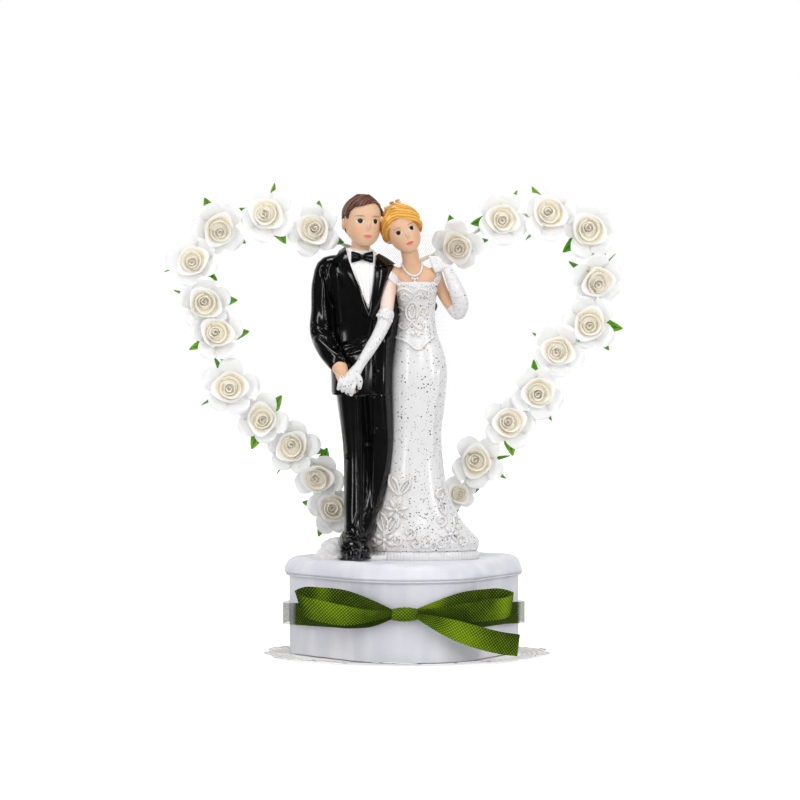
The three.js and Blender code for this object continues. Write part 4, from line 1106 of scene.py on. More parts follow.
class BuildArch(bpy.types.Operator):
    """Builds the wire heart with its paper roses, leaves and stems"""

    bl_idname = "topper.build_arch"
    bl_label = "Rose arch"

    def execute(self, context):
        petals, leaf_looks = petal_material(), leaf_material()
        dark, light = (0.03, 0.06, 0.02), (0.08, 0.13, 0.04)
        stem_looks = mottled_material("Stem paper", 0.6, 900.0, 2.0, dark, light, 0.08)
        kinds = [self.rose(seed) for seed in range(rose_kinds)]
        leaf = self.leaf()
        leaves, stems = [], []
        for side, rows in (("left", left_roses), ("right", right_roses)):
            for i, (x, z, size, tilt_x, tilt_z, turn, ways) in enumerate(rows):
                axis = Vector((tilt_x, -1, tilt_z)).normalized()
                root = Vector(on_wire(x, z)) + axis * (1.3 + 0.05 * (rose_radius * size))
                square = Vector((0, 0, 1)).rotation_difference(axis).to_matrix().to_4x4()
                place = Matrix.Translation(root * MM) @ square
                form = copied(kinds[(i * 2 + len(side)) % rose_kinds], f"paper_rose_{side}_{i + 1}")
                form.data.transform(place @ about_z(turn * 3) @ Matrix.Scale(size, 4))
                keep(form, petals, "petals", f"rose_{side}_{i + 1}")
                for k, way in enumerate(ways):
                    part = copied(leaf, "leaf_part")
                    roll = Matrix.Rotation(math.radians(leaf_rolls[(i + 2 * k) % len(leaf_rolls)]), 4, "X")
                    part.data.transform(place @ about_z(way) @ roll @ Matrix.Scale(size, 4))
                    leaves.append(part)
                stems.append(self.stem(root, i))
        keep(joined("rose_leaves", leaves), leaf_looks)
        keep(joined("rose_stems", stems), stem_looks)
        for form in (*kinds, leaf):
            bpy.data.objects.remove(form)
        self.wire()
        return {"FINISHED"}

    def open_petal(self, turn, reach, seed):
        """One of the round petals that lie open under the cup."""
        rng = np.random.default_rng(seed)
        across, along = disc_grid(13)
        share = (along + 1) / 2
        line = through([*petal_rise, (reach - 0.4, 0, 4.9), (reach, 0, 4.3)], 40)
        at = np.linspace(0, 1, 40)
        radius, height = np.interp(share, at, line[:, 0]), np.interp(share, at, line[:, 2])
        half = 5.0 * across
        height = height + 0.5 * across**2 + 0.3 * np.sin(2.5 * across + rng.uniform(0, 6)) * share**2
        height = height + rng.uniform(-0.5, 0.5) * share + 0.7 * across * share * rng.uniform(-1, 1)
        x, y = radius * math.cos(turn), radius * math.sin(turn)
        p = np.stack([x - half * math.sin(turn), y + half * math.cos(turn), height], axis=-1)
        return woven("petal", p)

    def wrapped_petal(self, start, span, radius, low, high, flare, corner, grow, aside):
        """A petal that wraps part of the way round the cup, with its rim turned out."""
        u, v = np.meshgrid(np.linspace(0, 1, 22), np.linspace(0, 1, 12))
        angle = start + span * u
        top = high - 1.1 * np.abs(2 * u - 1) ** 2.5
        height = low + (top - low) * v - 0.5 * flare * v**9
        r = radius * (0.4 + 0.6 * np.sin(v * math.pi / 2) ** 0.7) + grow * radius * u
        r = r + flare * v**5 + corner * v**3 * hump(u, 0.5, 0.13)
        p = np.stack([r * np.cos(angle) + aside[0] * v, r * np.sin(angle) + aside[1] * v, height], axis=-1)
        return woven("petal", p)

    def rose(self, seed):
        """A rose on the plain axes: open petals, three rows of wrapped ones and a rolled heart."""
        rng = np.random.default_rng(seed + 5)
        sheets = []
        for k in range(5):
            turn, reach = 1.257 * k + rng.uniform(-0.2, 0.2), rng.uniform(10.8, 12)
            sheets.append(self.open_petal(turn, reach, seed * 9 + k))
        way = rng.uniform(0, 2 * math.pi)
        for count, span, radius, high, flare, corner, aside in wrapped_rows:
            turn = rng.uniform(0, 6)
            lean = (aside * math.cos(way), aside * math.sin(way))
            for k in range(count):
                start = turn + 2 * math.pi * k / count + rng.uniform(-0.25, 0.25)
                top = high + rng.uniform(-0.5, 0.4)
                grow = 0.28 / count
                sheets.append(self.wrapped_petal(start, span, radius, 1.6, top, flare, corner, grow, lean))
        turns, rise = np.meshgrid(np.linspace(0, 1.8 * math.pi, 30), np.linspace(0, 1, 8), indexing="ij")
        radius = 1.1 - 0.8 * turns / turns.max() + 0.3 * rise**4
        height = 3.5 + 5.8 * rise - 0.4 * turns / turns.max() * rise
        heart = [radius * np.cos(turns) + lean[0] * rise, radius * np.sin(turns) + lean[1] * rise, height]
        sheets.append(woven("heart", np.stack(heart, axis=-1)))
        for sheet in sheets:
            thicken(sheet, bpy.context.scene.topper_arch.paper_thickness / MM)
        sheets.append(pebble("core", (0, 0, 4.2), (4.4, 4.2, 2.3)))
        sheets.append(pebble("calyx", (0, 0, 1.2), (2.4, 2.4, 1.6)))
        form = joined(f"rose_kind_{seed}", sheets)
        p, n = points(form), normals(form)
        far = np.hypot(p[:, 0], p[:, 1]) + 1e-6
        inwards = np.clip(-1.5 * (n[:, 0] * p[:, 0] + n[:, 1] * p[:, 1]) / far, 0, 1)
        inwards *= np.clip((7.2 - far) / 2, 0, 1) * np.clip(1.5 - 0.1 * p[:, 2], 0, 1)
        near = 0.45 * np.clip((6.2 - far) / 2.2, 0, 1)
        mark(form, ivory=np.clip(np.maximum(inwards, near), 0, 1))
        return form

    def leaf(self):
        along = np.linspace(0, 1, 25)
        across = np.linspace(-1, 1, 9)
        rows = []
        for t in along:
            half = 2.75 * math.sin(math.pi * t**0.8) ** 0.75 * (1 + 0.1 * ((t * 12) % 1 - 0.5))
            lift = 0.4 + 1.9 * t**2
            rows.append([(1 + 12.7 * t, half * s, lift + 0.5 * abs(s) * half * 0.35) for s in across])
        form = woven("leaf_kind", np.array(rows))
        s, t = np.tile(across, len(along)), np.repeat(along, len(across))
        side = np.clip(np.cos(2 * math.pi * (t * 7 - np.abs(s) * 0.9)) - 0.75, 0, 1) * 2.4
        mark(form, vein=np.clip(hump(s, 0, 0.1) + side, 0, 1))
        thicken(form, 0.25)
        return form

    def stem(self, root, i):
        """A stem that leaves the rose's back and winds round the wire."""
        rows = [(*root, 0.45)]
        for turn in range(7):
            angle = turn * 1.3 + i
            x, y = root[0] + 1.35 * math.cos(angle), arch_y + 1.3 * math.sin(angle)
            rows.append((x, y, root[2] + turn * 0.7 - 2, 0.4))
        return limb("stem_part", rows, 30, 3)

    def wire(self):
        """Two wires twisted into one. Its ends go side by side through the lid."""
        ends = [[(arch_x + side * 0.85, arch_y, lid_top + z) for z in (-6.5, 2.84)] for side in (-1, 1)]
        left, right = ([rose[:2] for rose in roses] for roses in (left_roses, right_roses))
        bend = [(-0.2, 0.07), *left, *notch, *right, (0.2, 0.09)]
        steps = 420
        line = through([*ends[0], *[on_wire(*place) for place in bend], *reversed(ends[1])], steps)
        ahead = np.gradient(line, axis=0)
        ahead /= np.linalg.norm(ahead, axis=1)[:, None]
        side = np.cross(ahead, (0, 1, 0))
        parts = []
        for start in (0, math.pi):
            angle = travelled(line) / 2.2 + start
            twist = line + 0.42 * (side * np.cos(angle)[:, None] + np.outer(np.sin(angle), (0, 1, 0)))
            parts.append(limb("wire_part", np.column_stack([twist, np.full(steps, 0.5)]), steps, 2))
        keep(joined("twisted_wire", parts), wire_material(), "wire", "arch_wire")


# The couple


class Figure:
    """A standing figure: its height and the x of its middle. Tables give shares of the height."""

    def __init__(self, height, x):
        self.height, self.x = height, x

    def rows(self, table):
        """Oval rows as millimetres on the lid."""
        h = self.height
        return [(lid_top + z * h, self.x + x * h, y * h, a * h, b * h) for z, x, y, a, b in table]

    def path(self, table):
        """Limb rows as millimetres on the lid."""
        h = self.height
        return [(self.x + x * h, y * h, lid_top + z * h, r * h) for x, y, z, r in table]


groom, bride = Figure(151, -17.969), Figure(147.98, 4.983)

# Ovals are z, x, y, half width and half depth; limbs are x, y, z and a radius
front_leg = [
    (0.05, -0.026, -0.028, 0.026, 0.034),
    (0.064, -0.026, -0.03, 0.028, 0.042),
    (0.09, -0.025, -0.028, 0.028, 0.038),
    (0.13, -0.024, -0.022, 0.03, 0.038),
    (0.2, -0.022, -0.016, 0.031, 0.04),
    (0.3, -0.022, -0.01, 0.033, 0.042),
    (0.38, -0.026, -0.006, 0.038, 0.048),
    (0.455, -0.031, -0.004, 0.043, 0.054),
]
back_leg = [
    (0.02, -0.008, -0.008, 0.02, 0.026),
    (0.066, -0.002, -0.012, 0.025, 0.036),
    (0.1, 0.006, -0.012, 0.027, 0.037),
    (0.16, 0.022, -0.006, 0.031, 0.037),
    (0.22, 0.036, -0.002, 0.035, 0.04),
    (0.3, 0.045, 0, 0.039, 0.044),
    (0.38, 0.041, 0, 0.042, 0.05),
    (0.455, 0.034, 0, 0.045, 0.054),
]
torso = [
    (0.453, -0.003, 0.006, 0.083, 0.062),
    (0.478, -0.002, 0.006, 0.084, 0.062),
    (0.54, -0.003, 0.006, 0.086, 0.06),
    (0.616, 0.003, 0.007, 0.096, 0.058),
    (0.7, 0.001, 0.006, 0.101, 0.06),
    (0.755, -0.006, 0.004, 0.099, 0.062),
    (0.795, -0.011, 0.002, 0.096, 0.058),
    (0.818, -0.012, 0.002, 0.084, 0.049),
    (0.836, -0.012, 0.004, 0.056, 0.04),
    (0.846, -0.01, 0.008, 0.042, 0.034),
    (0.853, -0.01, 0.012, 0.035, 0.026),
]
near_sleeve = [
    (-0.06, 0, 0.812, 0.026),
    (-0.101, 0, 0.803, 0.026),
    (-0.108, 0, 0.765, 0.031),
    (-0.113, -0.003, 0.682, 0.03),
    (-0.117, -0.015, 0.625, 0.03),
    (-0.1, -0.048, 0.574, 0.028),
    (-0.077, -0.074, 0.541, 0.026),
]
far_sleeve = [
    (0.062, 0.004, 0.79, 0.03),
    (0.1, 0.045, 0.748, 0.029),
    (0.15, 0.078, 0.712, 0.025),
    (0.193, 0.068, 0.695, 0.02),
]
front_shoe = [
    (-0.034, 0, 0.058, 0.026),
    (-0.038, -0.03, 0.056, 0.029),
    (-0.042, -0.062, 0.047, 0.032),
    (-0.042, -0.095, 0.036, 0.033),
    (-0.039, -0.12, 0.029, 0.03),
    (-0.037, -0.136, 0.021, 0.021),
]
back_shoe = [
    (-0.006, 0.005, 0.05, 0.024),
    (-0.006, -0.03, 0.042, 0.026),
    (-0.006, -0.062, 0.033, 0.026),
    (-0.007, -0.088, 0.026, 0.023),
]
skirt = [
    (0.024, 0.018, 0.01, 0.151, 0.1),
    (0.047, 0.019, 0.01, 0.156, 0.104),
    (0.075, 0.012, 0.008, 0.142, 0.094),
    (0.1, 0.004, 0.006, 0.126, 0.084),
    (0.135, 0, 0.004, 0.11, 0.076),
    (0.17, -0.004, 0.002, 0.096, 0.07),
    (0.215, -0.005, 0, 0.084, 0.065),
    (0.27, -0.005, 0, 0.076, 0.061),
    (0.34, -0.004, 0, 0.071, 0.06),
    (0.44, 0.001, 0, 0.076, 0.062),
    (0.53, 0.004, 0, 0.078, 0.063),
    (0.585, 0.002, 0, 0.07, 0.057),
    (0.63, -0.004, 0, 0.059, 0.048),
]
bodice = [
    (0.625, -0.004, 0, 0.06, 0.049),
    (0.664, -0.004, 0, 0.053, 0.044),
    (0.698, -0.003, 0, 0.051, 0.043),
    (0.73, -0.006, -0.002, 0.057, 0.048),
    (0.757, -0.008, -0.004, 0.063, 0.052),
    (0.777, -0.008, -0.002, 0.06, 0.046),
]
shoulders = [
    (0.76, -0.008, 0, 0.056, 0.042),
    (0.779, -0.008, 0, 0.059, 0.042),
    (0.793, -0.008, 0, 0.065, 0.039),
    (0.807, -0.008, 0, 0.059, 0.034),
    (0.818, -0.012, 0, 0.039, 0.03),
    (0.828, -0.017, 0, 0.028, 0.026),
    (0.855, -0.023, -0.002, 0.025, 0.025),
    (0.885, -0.03, -0.002, 0.025, 0.025),
]
right_arm = [
    (-0.066, -0.004, 0.8, 0.02),
    (-0.076, -0.012, 0.788, 0.021),
    (-0.087, -0.038, 0.745, 0.021),
    (-0.093, -0.058, 0.7, 0.019),
    (-0.098, -0.07, 0.665, 0.017),
]
right_sleeve = [
    (-0.096, -0.066, 0.685, 0.024),
    (-0.1, -0.072, 0.668, 0.021),
    (-0.118, -0.088, 0.63, 0.018),
    (-0.148, -0.102, 0.582, 0.016),
    (-0.174, -0.108, 0.542, 0.014),
    (-0.188, -0.112, 0.522, 0.018),
]
left_arm = [
    (0.048, 0.004, 0.803, 0.019),
    (0.068, 0.004, 0.752, 0.017),
    (0.092, 0, 0.71, 0.016),
    (0.1, -0.004, 0.7, 0.016),
]
left_sleeve = [
    (0.1, -0.004, 0.7, 0.019),
    (0.112, -0.012, 0.69, 0.02),
    (0.118, -0.024, 0.71, 0.023),
    (0.108, -0.032, 0.745, 0.022),
    (0.09, -0.03, 0.79, 0.017),
    (0.079, -0.026, 0.815, 0.013),
]
skull = [
    (0, 0, -0.27, 0.1, 0.1),
    (0.07, 0, -0.2, 0.21, 0.21),
    (0.18, 0, -0.12, 0.3, 0.32),
    (0.36, 0, -0.04, 0.35, 0.41),
    (0.55, 0, 0, 0.37, 0.45),
    (0.75, 0, 0.02, 0.35, 0.43),
    (0.9, 0, 0.03, 0.26, 0.33),
    (1, 0, 0.03, 0.11, 0.14),
]


class Head:
    """The place of a head, and how shares of its height become millimetres."""

    def __init__(self, height, chin, lean, turn):
        turned_by = Matrix.Rotation(turn, 4, "Z") @ Matrix.Rotation(lean, 4, "Y")
        self.matrix = Matrix.Translation(Vector(chin)) @ turned_by @ Matrix.Scale(height, 4)

    def out(self, form):
        """Moves a form from shares of the head to its place."""
        form.data.transform(Matrix.Scale(MM, 4) @ self.matrix @ Matrix.Scale(1 / MM, 4))
        return form

    def shares(self, form):
        """The form's vertices in shares of the head."""
        back = np.array(self.matrix.inverted())
        return points(form) @ back[:3, :3].T + back[:3, 3]


groom_head = Head(20.385, (groom.x - 0.453, 0.755, lid_top + 129.86), 0.04, 0.2)
bride_head = Head(18.2, (bride.x - 3.2556, -0.592, lid_top + 127.71), -0.36, 0.05)
ink = np.array([0.012, 0.008, 0.006])
# Each row: an angle from the front in degrees, and the hair's lower edge there as a share of the head
groom_hairline = [
    (-180, 0.16), (-125, 0.2), (-108, 0.38), (-96, 0.6), (-74, 0.6), (-66, 0.52), (-58, 0.7), (-40, 0.78),
    (0, 0.85), (35, 0.89), (55, 0.8), (68, 0.52), (78, 0.6), (108, 0.38), (125, 0.2), (180, 0.16),
]
bride_hairline = [
    (-180, 0.24), (-118, 0.3), (-92, 0.42), (-74, 0.55), (-54, 0.69), (-30, 0.8), (-5, 0.83),
    (20, 0.79), (42, 0.7), (60, 0.57), (74, 0.46), (90, 0.42), (110, 0.28), (180, 0.24),
]
# Each lock: its line as angles and heights on the head, and its radii
bride_locks = [
    (
        [(-38, 0.92), (-12, 0.93), (14, 0.88), (38, 0.77), (58, 0.62), (76, 0.47), (90, 0.38)],
        [0.04, 0.1, 0.11, 0.1, 0.09, 0.07, 0.04],
    ),
    (
        [(-34, 0.94), (-50, 0.82), (-64, 0.7), (-77, 0.58), (-91, 0.47), (-108, 0.38)],
        [0.04, 0.09, 0.1, 0.1, 0.09, 0.05],
    ),
    (
        [(-45, 1.0), (-10, 1.04), (22, 1.02), (52, 0.9), (76, 0.72), (96, 0.54)],
        [0.05, 0.11, 0.12, 0.11, 0.09, 0.05],
    ),
    ([(-60, 0.97), (-78, 0.8), (-92, 0.62), (-108, 0.46)], [0.05, 0.09, 0.09, 0.05]),
]


def bump_at(q, spot, size):
    """1 at a spot in shares of the head and fading with distance, each axis by its own size."""
    return np.exp(-((((q - np.array(spot)) / np.array(size)) ** 2).sum(1)))


def head_form(name, head, extra=()):
    """A head with ears and a plain doll's face of even proportions."""
    parts = [turned("skull_part", skull, 40, 30)]
    parts.append(pebble("nose_part", (0, -0.415, 0.4), (0.045, 0.075, 0.1), (-0.25, 0, 0)))
    parts.append(pebble("chin_part", (0, -0.31, 0.07), (0.13, 0.08, 0.08)))
    for side in (-1, 1):
        place, turn = (side * 0.385, 0.03, 0.43), (0.2, 0, side * 0.5)
        parts.append(pebble("ear_part", place, (0.05, 0.085, 0.12), turn))
    form = fused(name, [*[head.out(p) for p in parts], *extra], 0.24, 5)
    q = head.shares(form)
    amount = np.zeros(len(q))
    for side in (-1, 1):
        amount -= 0.5 * bump_at(q, (side * 0.16, -0.42, 0.5), (0.09, 0.2, 0.06))
        amount += 0.28 * bump_at(q, (side * 0.16, -0.42, 0.495), (0.055, 0.2, 0.035))
        amount += 0.15 * bump_at(q, (side * 0.22, -0.33, 0.3), (0.12, 0.2, 0.1))
        amount -= 0.5 * bump_at(q, (side * 0.43, 0.0, 0.44), (0.05, 0.04, 0.06))
    amount += 0.35 * bump_at(q, (0, -0.4, 0.215), (0.07, 0.2, 0.02))
    amount += 0.35 * bump_at(q, (0, -0.4, 0.165), (0.06, 0.2, 0.02))
    amount -= 0.25 * bump_at(q, (0, -0.4, 0.19), (0.09, 0.2, 0.008))
    push(form, amount)
    return form


def toned(colours, share, colour):
    """Colours moved towards another by a share at each vertex."""
    share = np.clip(share, 0, 1)[:, None]
    return colours * (1 - share) + np.array(colour) * share


def face_paint(form, head, skin, lips, brow):
    """Dot eyes, faint brows, small lips and a little colour on the cheeks."""
    q = head.shares(form)
    x, z = q[:, 0], q[:, 2]
    front = q[:, 1] < -0.1
    colours = np.tile(np.array(skin), (len(q), 1))
    warm = np.array(skin) * (1.0, 0.72, 0.62)
    for side in (-1, 1):
        colours = toned(colours, 0.5 * bump_at(q, (side * 0.23, -0.32, 0.29), (0.11, 0.3, 0.1)), warm)
        colours = toned(colours, 0.55 * bump_at(q, (side * 0.43, 0.02, 0.43), (0.06, 0.06, 0.08)), warm)
        arch = 0.6 - 1.2 * (np.abs(x) - 0.16) ** 2
        colours = toned(colours, 0.9 * hump(z, arch, 0.012) * hump(x, side * 0.165, 0.085, 4) * front, brow)
        eye = (((x - side * 0.16) / 0.08) ** 2 + ((z - 0.495) / 0.048) ** 2) < 1
        colours = toned(colours, 0.85 * eye * front, (0.8, 0.74, 0.7))
        iris = (((x - side * 0.16) / 0.05) ** 2 + ((z - 0.497) / 0.05) ** 2) < 1
        colours = toned(colours, 1.0 * iris * front, ink)
        lid = hump(z - 0.532 + 2 * (np.abs(x) - 0.16) ** 2, 0, 0.009)
        colours = toned(colours, 0.9 * lid * hump(x, side * 0.16, 0.07, 4) * front, ink * 2)
    mouth = (x / 0.088) ** 2 + ((z - 0.19) / 0.042) ** 2
    colours = toned(colours, np.clip((1.15 - mouth) * 4, 0, 1) * front, lips)
    line = 0.5 * hump(z, 0.19, 0.008) * (np.abs(x) < 0.07) * front
    paint(form, toned(colours, line, np.array(lips) * 0.5))


def plain_skin(form, skin, pale=None):
    """Even skin, warmer in places. The part of it left of pale, in x, carries a painted highlight in a paler
    colour.
    """
    p = points(form)
    warm = np.array(skin) * (1.0, 0.8, 0.7)
    colours = toned(np.array(skin), np.clip(0.5 + 0.5 * ripple(p, 30, 2), 0, 1) * 0.35, warm)
    if pale is not None:
        colours = toned(colours, 0.8 * np.clip((pale - p[:, 0]) / 3, 0, 1), (0.86, 0.76, 0.71))
    paint(form, colours)


def delete_where(form, condition):
    """Deletes the vertices that meet a condition."""
    only(form)
    form.data.vertices.foreach_set("select", np.asarray(condition, bool))
    form.data.edges.foreach_set("select", np.zeros(len(form.data.edges), bool))
    form.data.polygons.foreach_set("select", np.zeros(len(form.data.polygons), bool))
    bpy.ops.object.mode_set(mode="EDIT")
    bpy.ops.mesh.select_mode(type="VERT")
    bpy.ops.mesh.delete(type="VERT")
    bpy.ops.object.mode_set(mode="OBJECT")


def patch(name, left, right, tree, lift, thickness, across=9, steps=24, crown=0.0, bevel=0.0):
    """A thin piece between two edges drawn in x and z, laid on what is behind it."""
    rows = []
    share = np.linspace(0, 1, across)[:, None]
    for p, q in zip(drawn(left, steps), drawn(right, steps)):
        line = laid_on(tree, p * (1 - share) + q * share, lift)
        line[:, 1] -= crown * np.sin(np.linspace(0, math.pi, across))
        rows.append(line)
    form = woven(name, np.array(rows))
    thicken(form, thickness)
    if bevel:
        modify(form, "BEVEL", width=bevel * MM, segments=2, limit_method="ANGLE")
    return seal(form)


def fingers(first, step, joints):
    """Four fingers side by side. The first x and z, the step to the next, and the joints from there."""
    made = []
    for k in range(4):
        x, z = first[0] + step[0] * k, first[1] + step[1] * k
        made.append(limb("finger_part", [(x + dx, y, z + dz, r) for dx, y, dz, r in joints], 10, 4))
    return made


def hairline(q, line):
    """The height of the hairline, in shares of the head, at each point's side."""
    angles, heights = zip(*line)
    return np.interp(np.degrees(np.arctan2(q[:, 0], -q[:, 1])), angles, heights)


def hair_cap(name, head, wide, deep, crown, line, thickness, rounds=0):
    """A shell of hair over the skull, down to the hairline."""
    rows = [(z, x, y, a + wide, b + deep) for z, x, y, a, b in skull]
    _, x, y, a, b = skull[-1]
    rows[-1] = (crown, x, y, a + wide / 2, b + wide / 2)
    cap = eased(head.out(turned(name, rows, 48, 36)), 0.26, rounds)
    q = head.shares(cap)
    delete_where(cap, q[:, 2] < hairline(q, line))
    thicken(cap, thickness, -1)
    return cap


def lock(head, line, radii, lift=0.04):
    """A lock of hair laid on the head. The line is an angle from the front and a height for each point."""
    heights = [row[0] for row in skull]
    rows = []
    for (angle, z), radius in zip(line, radii):
        y, wide, deep = (np.interp(z, heights, [row[k] for row in skull]) for k in (2, 3, 4))
        turn = math.radians(angle)
        rows.append(((wide + lift) * math.sin(turn), y - (deep + lift) * math.cos(turn), z, radius))
    return head.out(limb("lock_part", rows, 30, 6))


# Lines pressed into the suit, or raised: each in x and z, with a half width and a height
jacket_folds = [
    ([(-34.6, 160), (-32.8, 150), (-31.2, 144.9), (-30.5, 133.3), (-27, 124.5), (-23, 118)], 0.8, -1.4),
    ([(-34.2, 156), (-34.8, 146), (-33.6, 137)], 1.3, 0.9),
    ([(-38.5, 134.5), (-34.5, 132.4), (-30.7, 128.4)], 0.7, -0.9),
    ([(-37.5, 131), (-31.4, 125.5), (-26.3, 122.8)], 1.3, 1.0),
    ([(-39.5, 137.5), (-36.5, 136.4), (-33.5, 137.6)], 0.8, -0.6),
    ([(-29.2, 160), (-28.4, 150), (-27.2, 138)], 1.6, 0.6),
    ([(-18.0, 131.3), (-23.4, 129.3), (-28.3, 128.2)], 0.8, -0.8),
    ([(-17.0, 127.3), (-24.0, 125.6)], 1.0, -0.7),
    ([(-14.2, 139), (-13.9, 128), (-13.6, 118), (-14.2, 109.5)], 0.5, -0.8),
    ([(-18.2, 126), (-18.8, 118), (-19.5, 109)], 2.6, 1.1),
    ([(-9.8, 130), (-9.6, 119), (-9.8, 109)], 2.2, 0.9),
    ([(-27, 120), (-28.5, 113), (-29, 108.5)], 1.8, 0.8),
]
jacket_back = [
    ([(-18.6, 164), (-18.3, 108)], 0.4, -0.5),
    ([(-26.8, 165), (-18.4, 168), (-10.4, 165)], 1.5, 0.6),
    *[([(x, 120), (x * 1.02, 108)], 0.4, -0.6) for x in (-25.5, -10.5)],
]
trouser_folds = [
    ([(-21.4, 107), (-21.0, 90), (-20.8, 72), (-20.9, 60), (-22.2, 54)], 0.5, 0.45),
    ([(-14.0, 107), (-13.7, 92), (-14.0, 76), (-14.6, 60)], 0.45, 0.4),
    ([(-17.8, 108), (-18.2, 80), (-18.6, 52)], 0.7, -0.35),
    ([(-27.5, 84), (-24, 82.5)], 0.5, -0.4),
    ([(-17, 88), (-15, 91), (-13.6, 95)], 0.8, -0.4),
    ([(-24, 54), (-21.5, 52.2), (-18.8, 53.5)], 0.7, -0.5),
]
# Each lapel: its left and right edges in x and z, and how far its middle swells
lapels = [
    ([(-25.7, 169.0), (-28.4, 165.3), (-31.4, 162.6)], [(-25.2, 169.2), (-24.7, 165.6), (-25.0, 161.2)], 0.3),
    (
        [(-29.8, 160.0), (-26.4, 154.8), (-22.8, 148.6), (-16.6, 140.0)],
        [(-24.6, 162.0), (-22.3, 157.4), (-19.4, 150.8), (-16.0, 141.2)],
        0.6,
    ),
    ([(-13.5, 164.8), (-13.6, 162.8), (-13.7, 160.6)], [(-12.2, 165.8), (-8.6, 163.8), (-5.4, 161.8)], 0.3),
    (
        [(-13.8, 161.2), (-14.1, 156.5), (-15.2, 148.5), (-16.2, 141.6)],
        [(-8.2, 159.4), (-10.4, 153.0), (-12.4, 145.5), (-15.4, 139.6)],
        0.6,
    ),
]
shirt_edges = [
    [(-26.2, 169.8), (-24.6, 164.5), (-21.4, 155.3), (-18.5, 148.9), (-16.6, 143.5)],
    [(-12.2, 166.5), (-13.4, 162.3), (-14.1, 156.5), (-15.3, 147.8), (-16.1, 143.5)],
]
shirt_pleats = [
    ([(high, 166), (low, 146)], 0.28, 0.3)
    for high, low in ((-23.5, -17.6), (-21.2, -17.0), (-18.8, -16.4), (-16.2, -16))
]
collar_wings = [
    ([(-25.7, 169.3), (-24.9, 167.0), (-23.4, 164.9)], [(-22.4, 168.6), (-22.2, 166.8), (-21.9, 165.2)]),
    ([(-16.0, 168.0), (-15.6, 166.4), (-15.3, 164.9)], [(-12.3, 167.3), (-12.6, 165.8), (-13.6, 164.3)]),
]


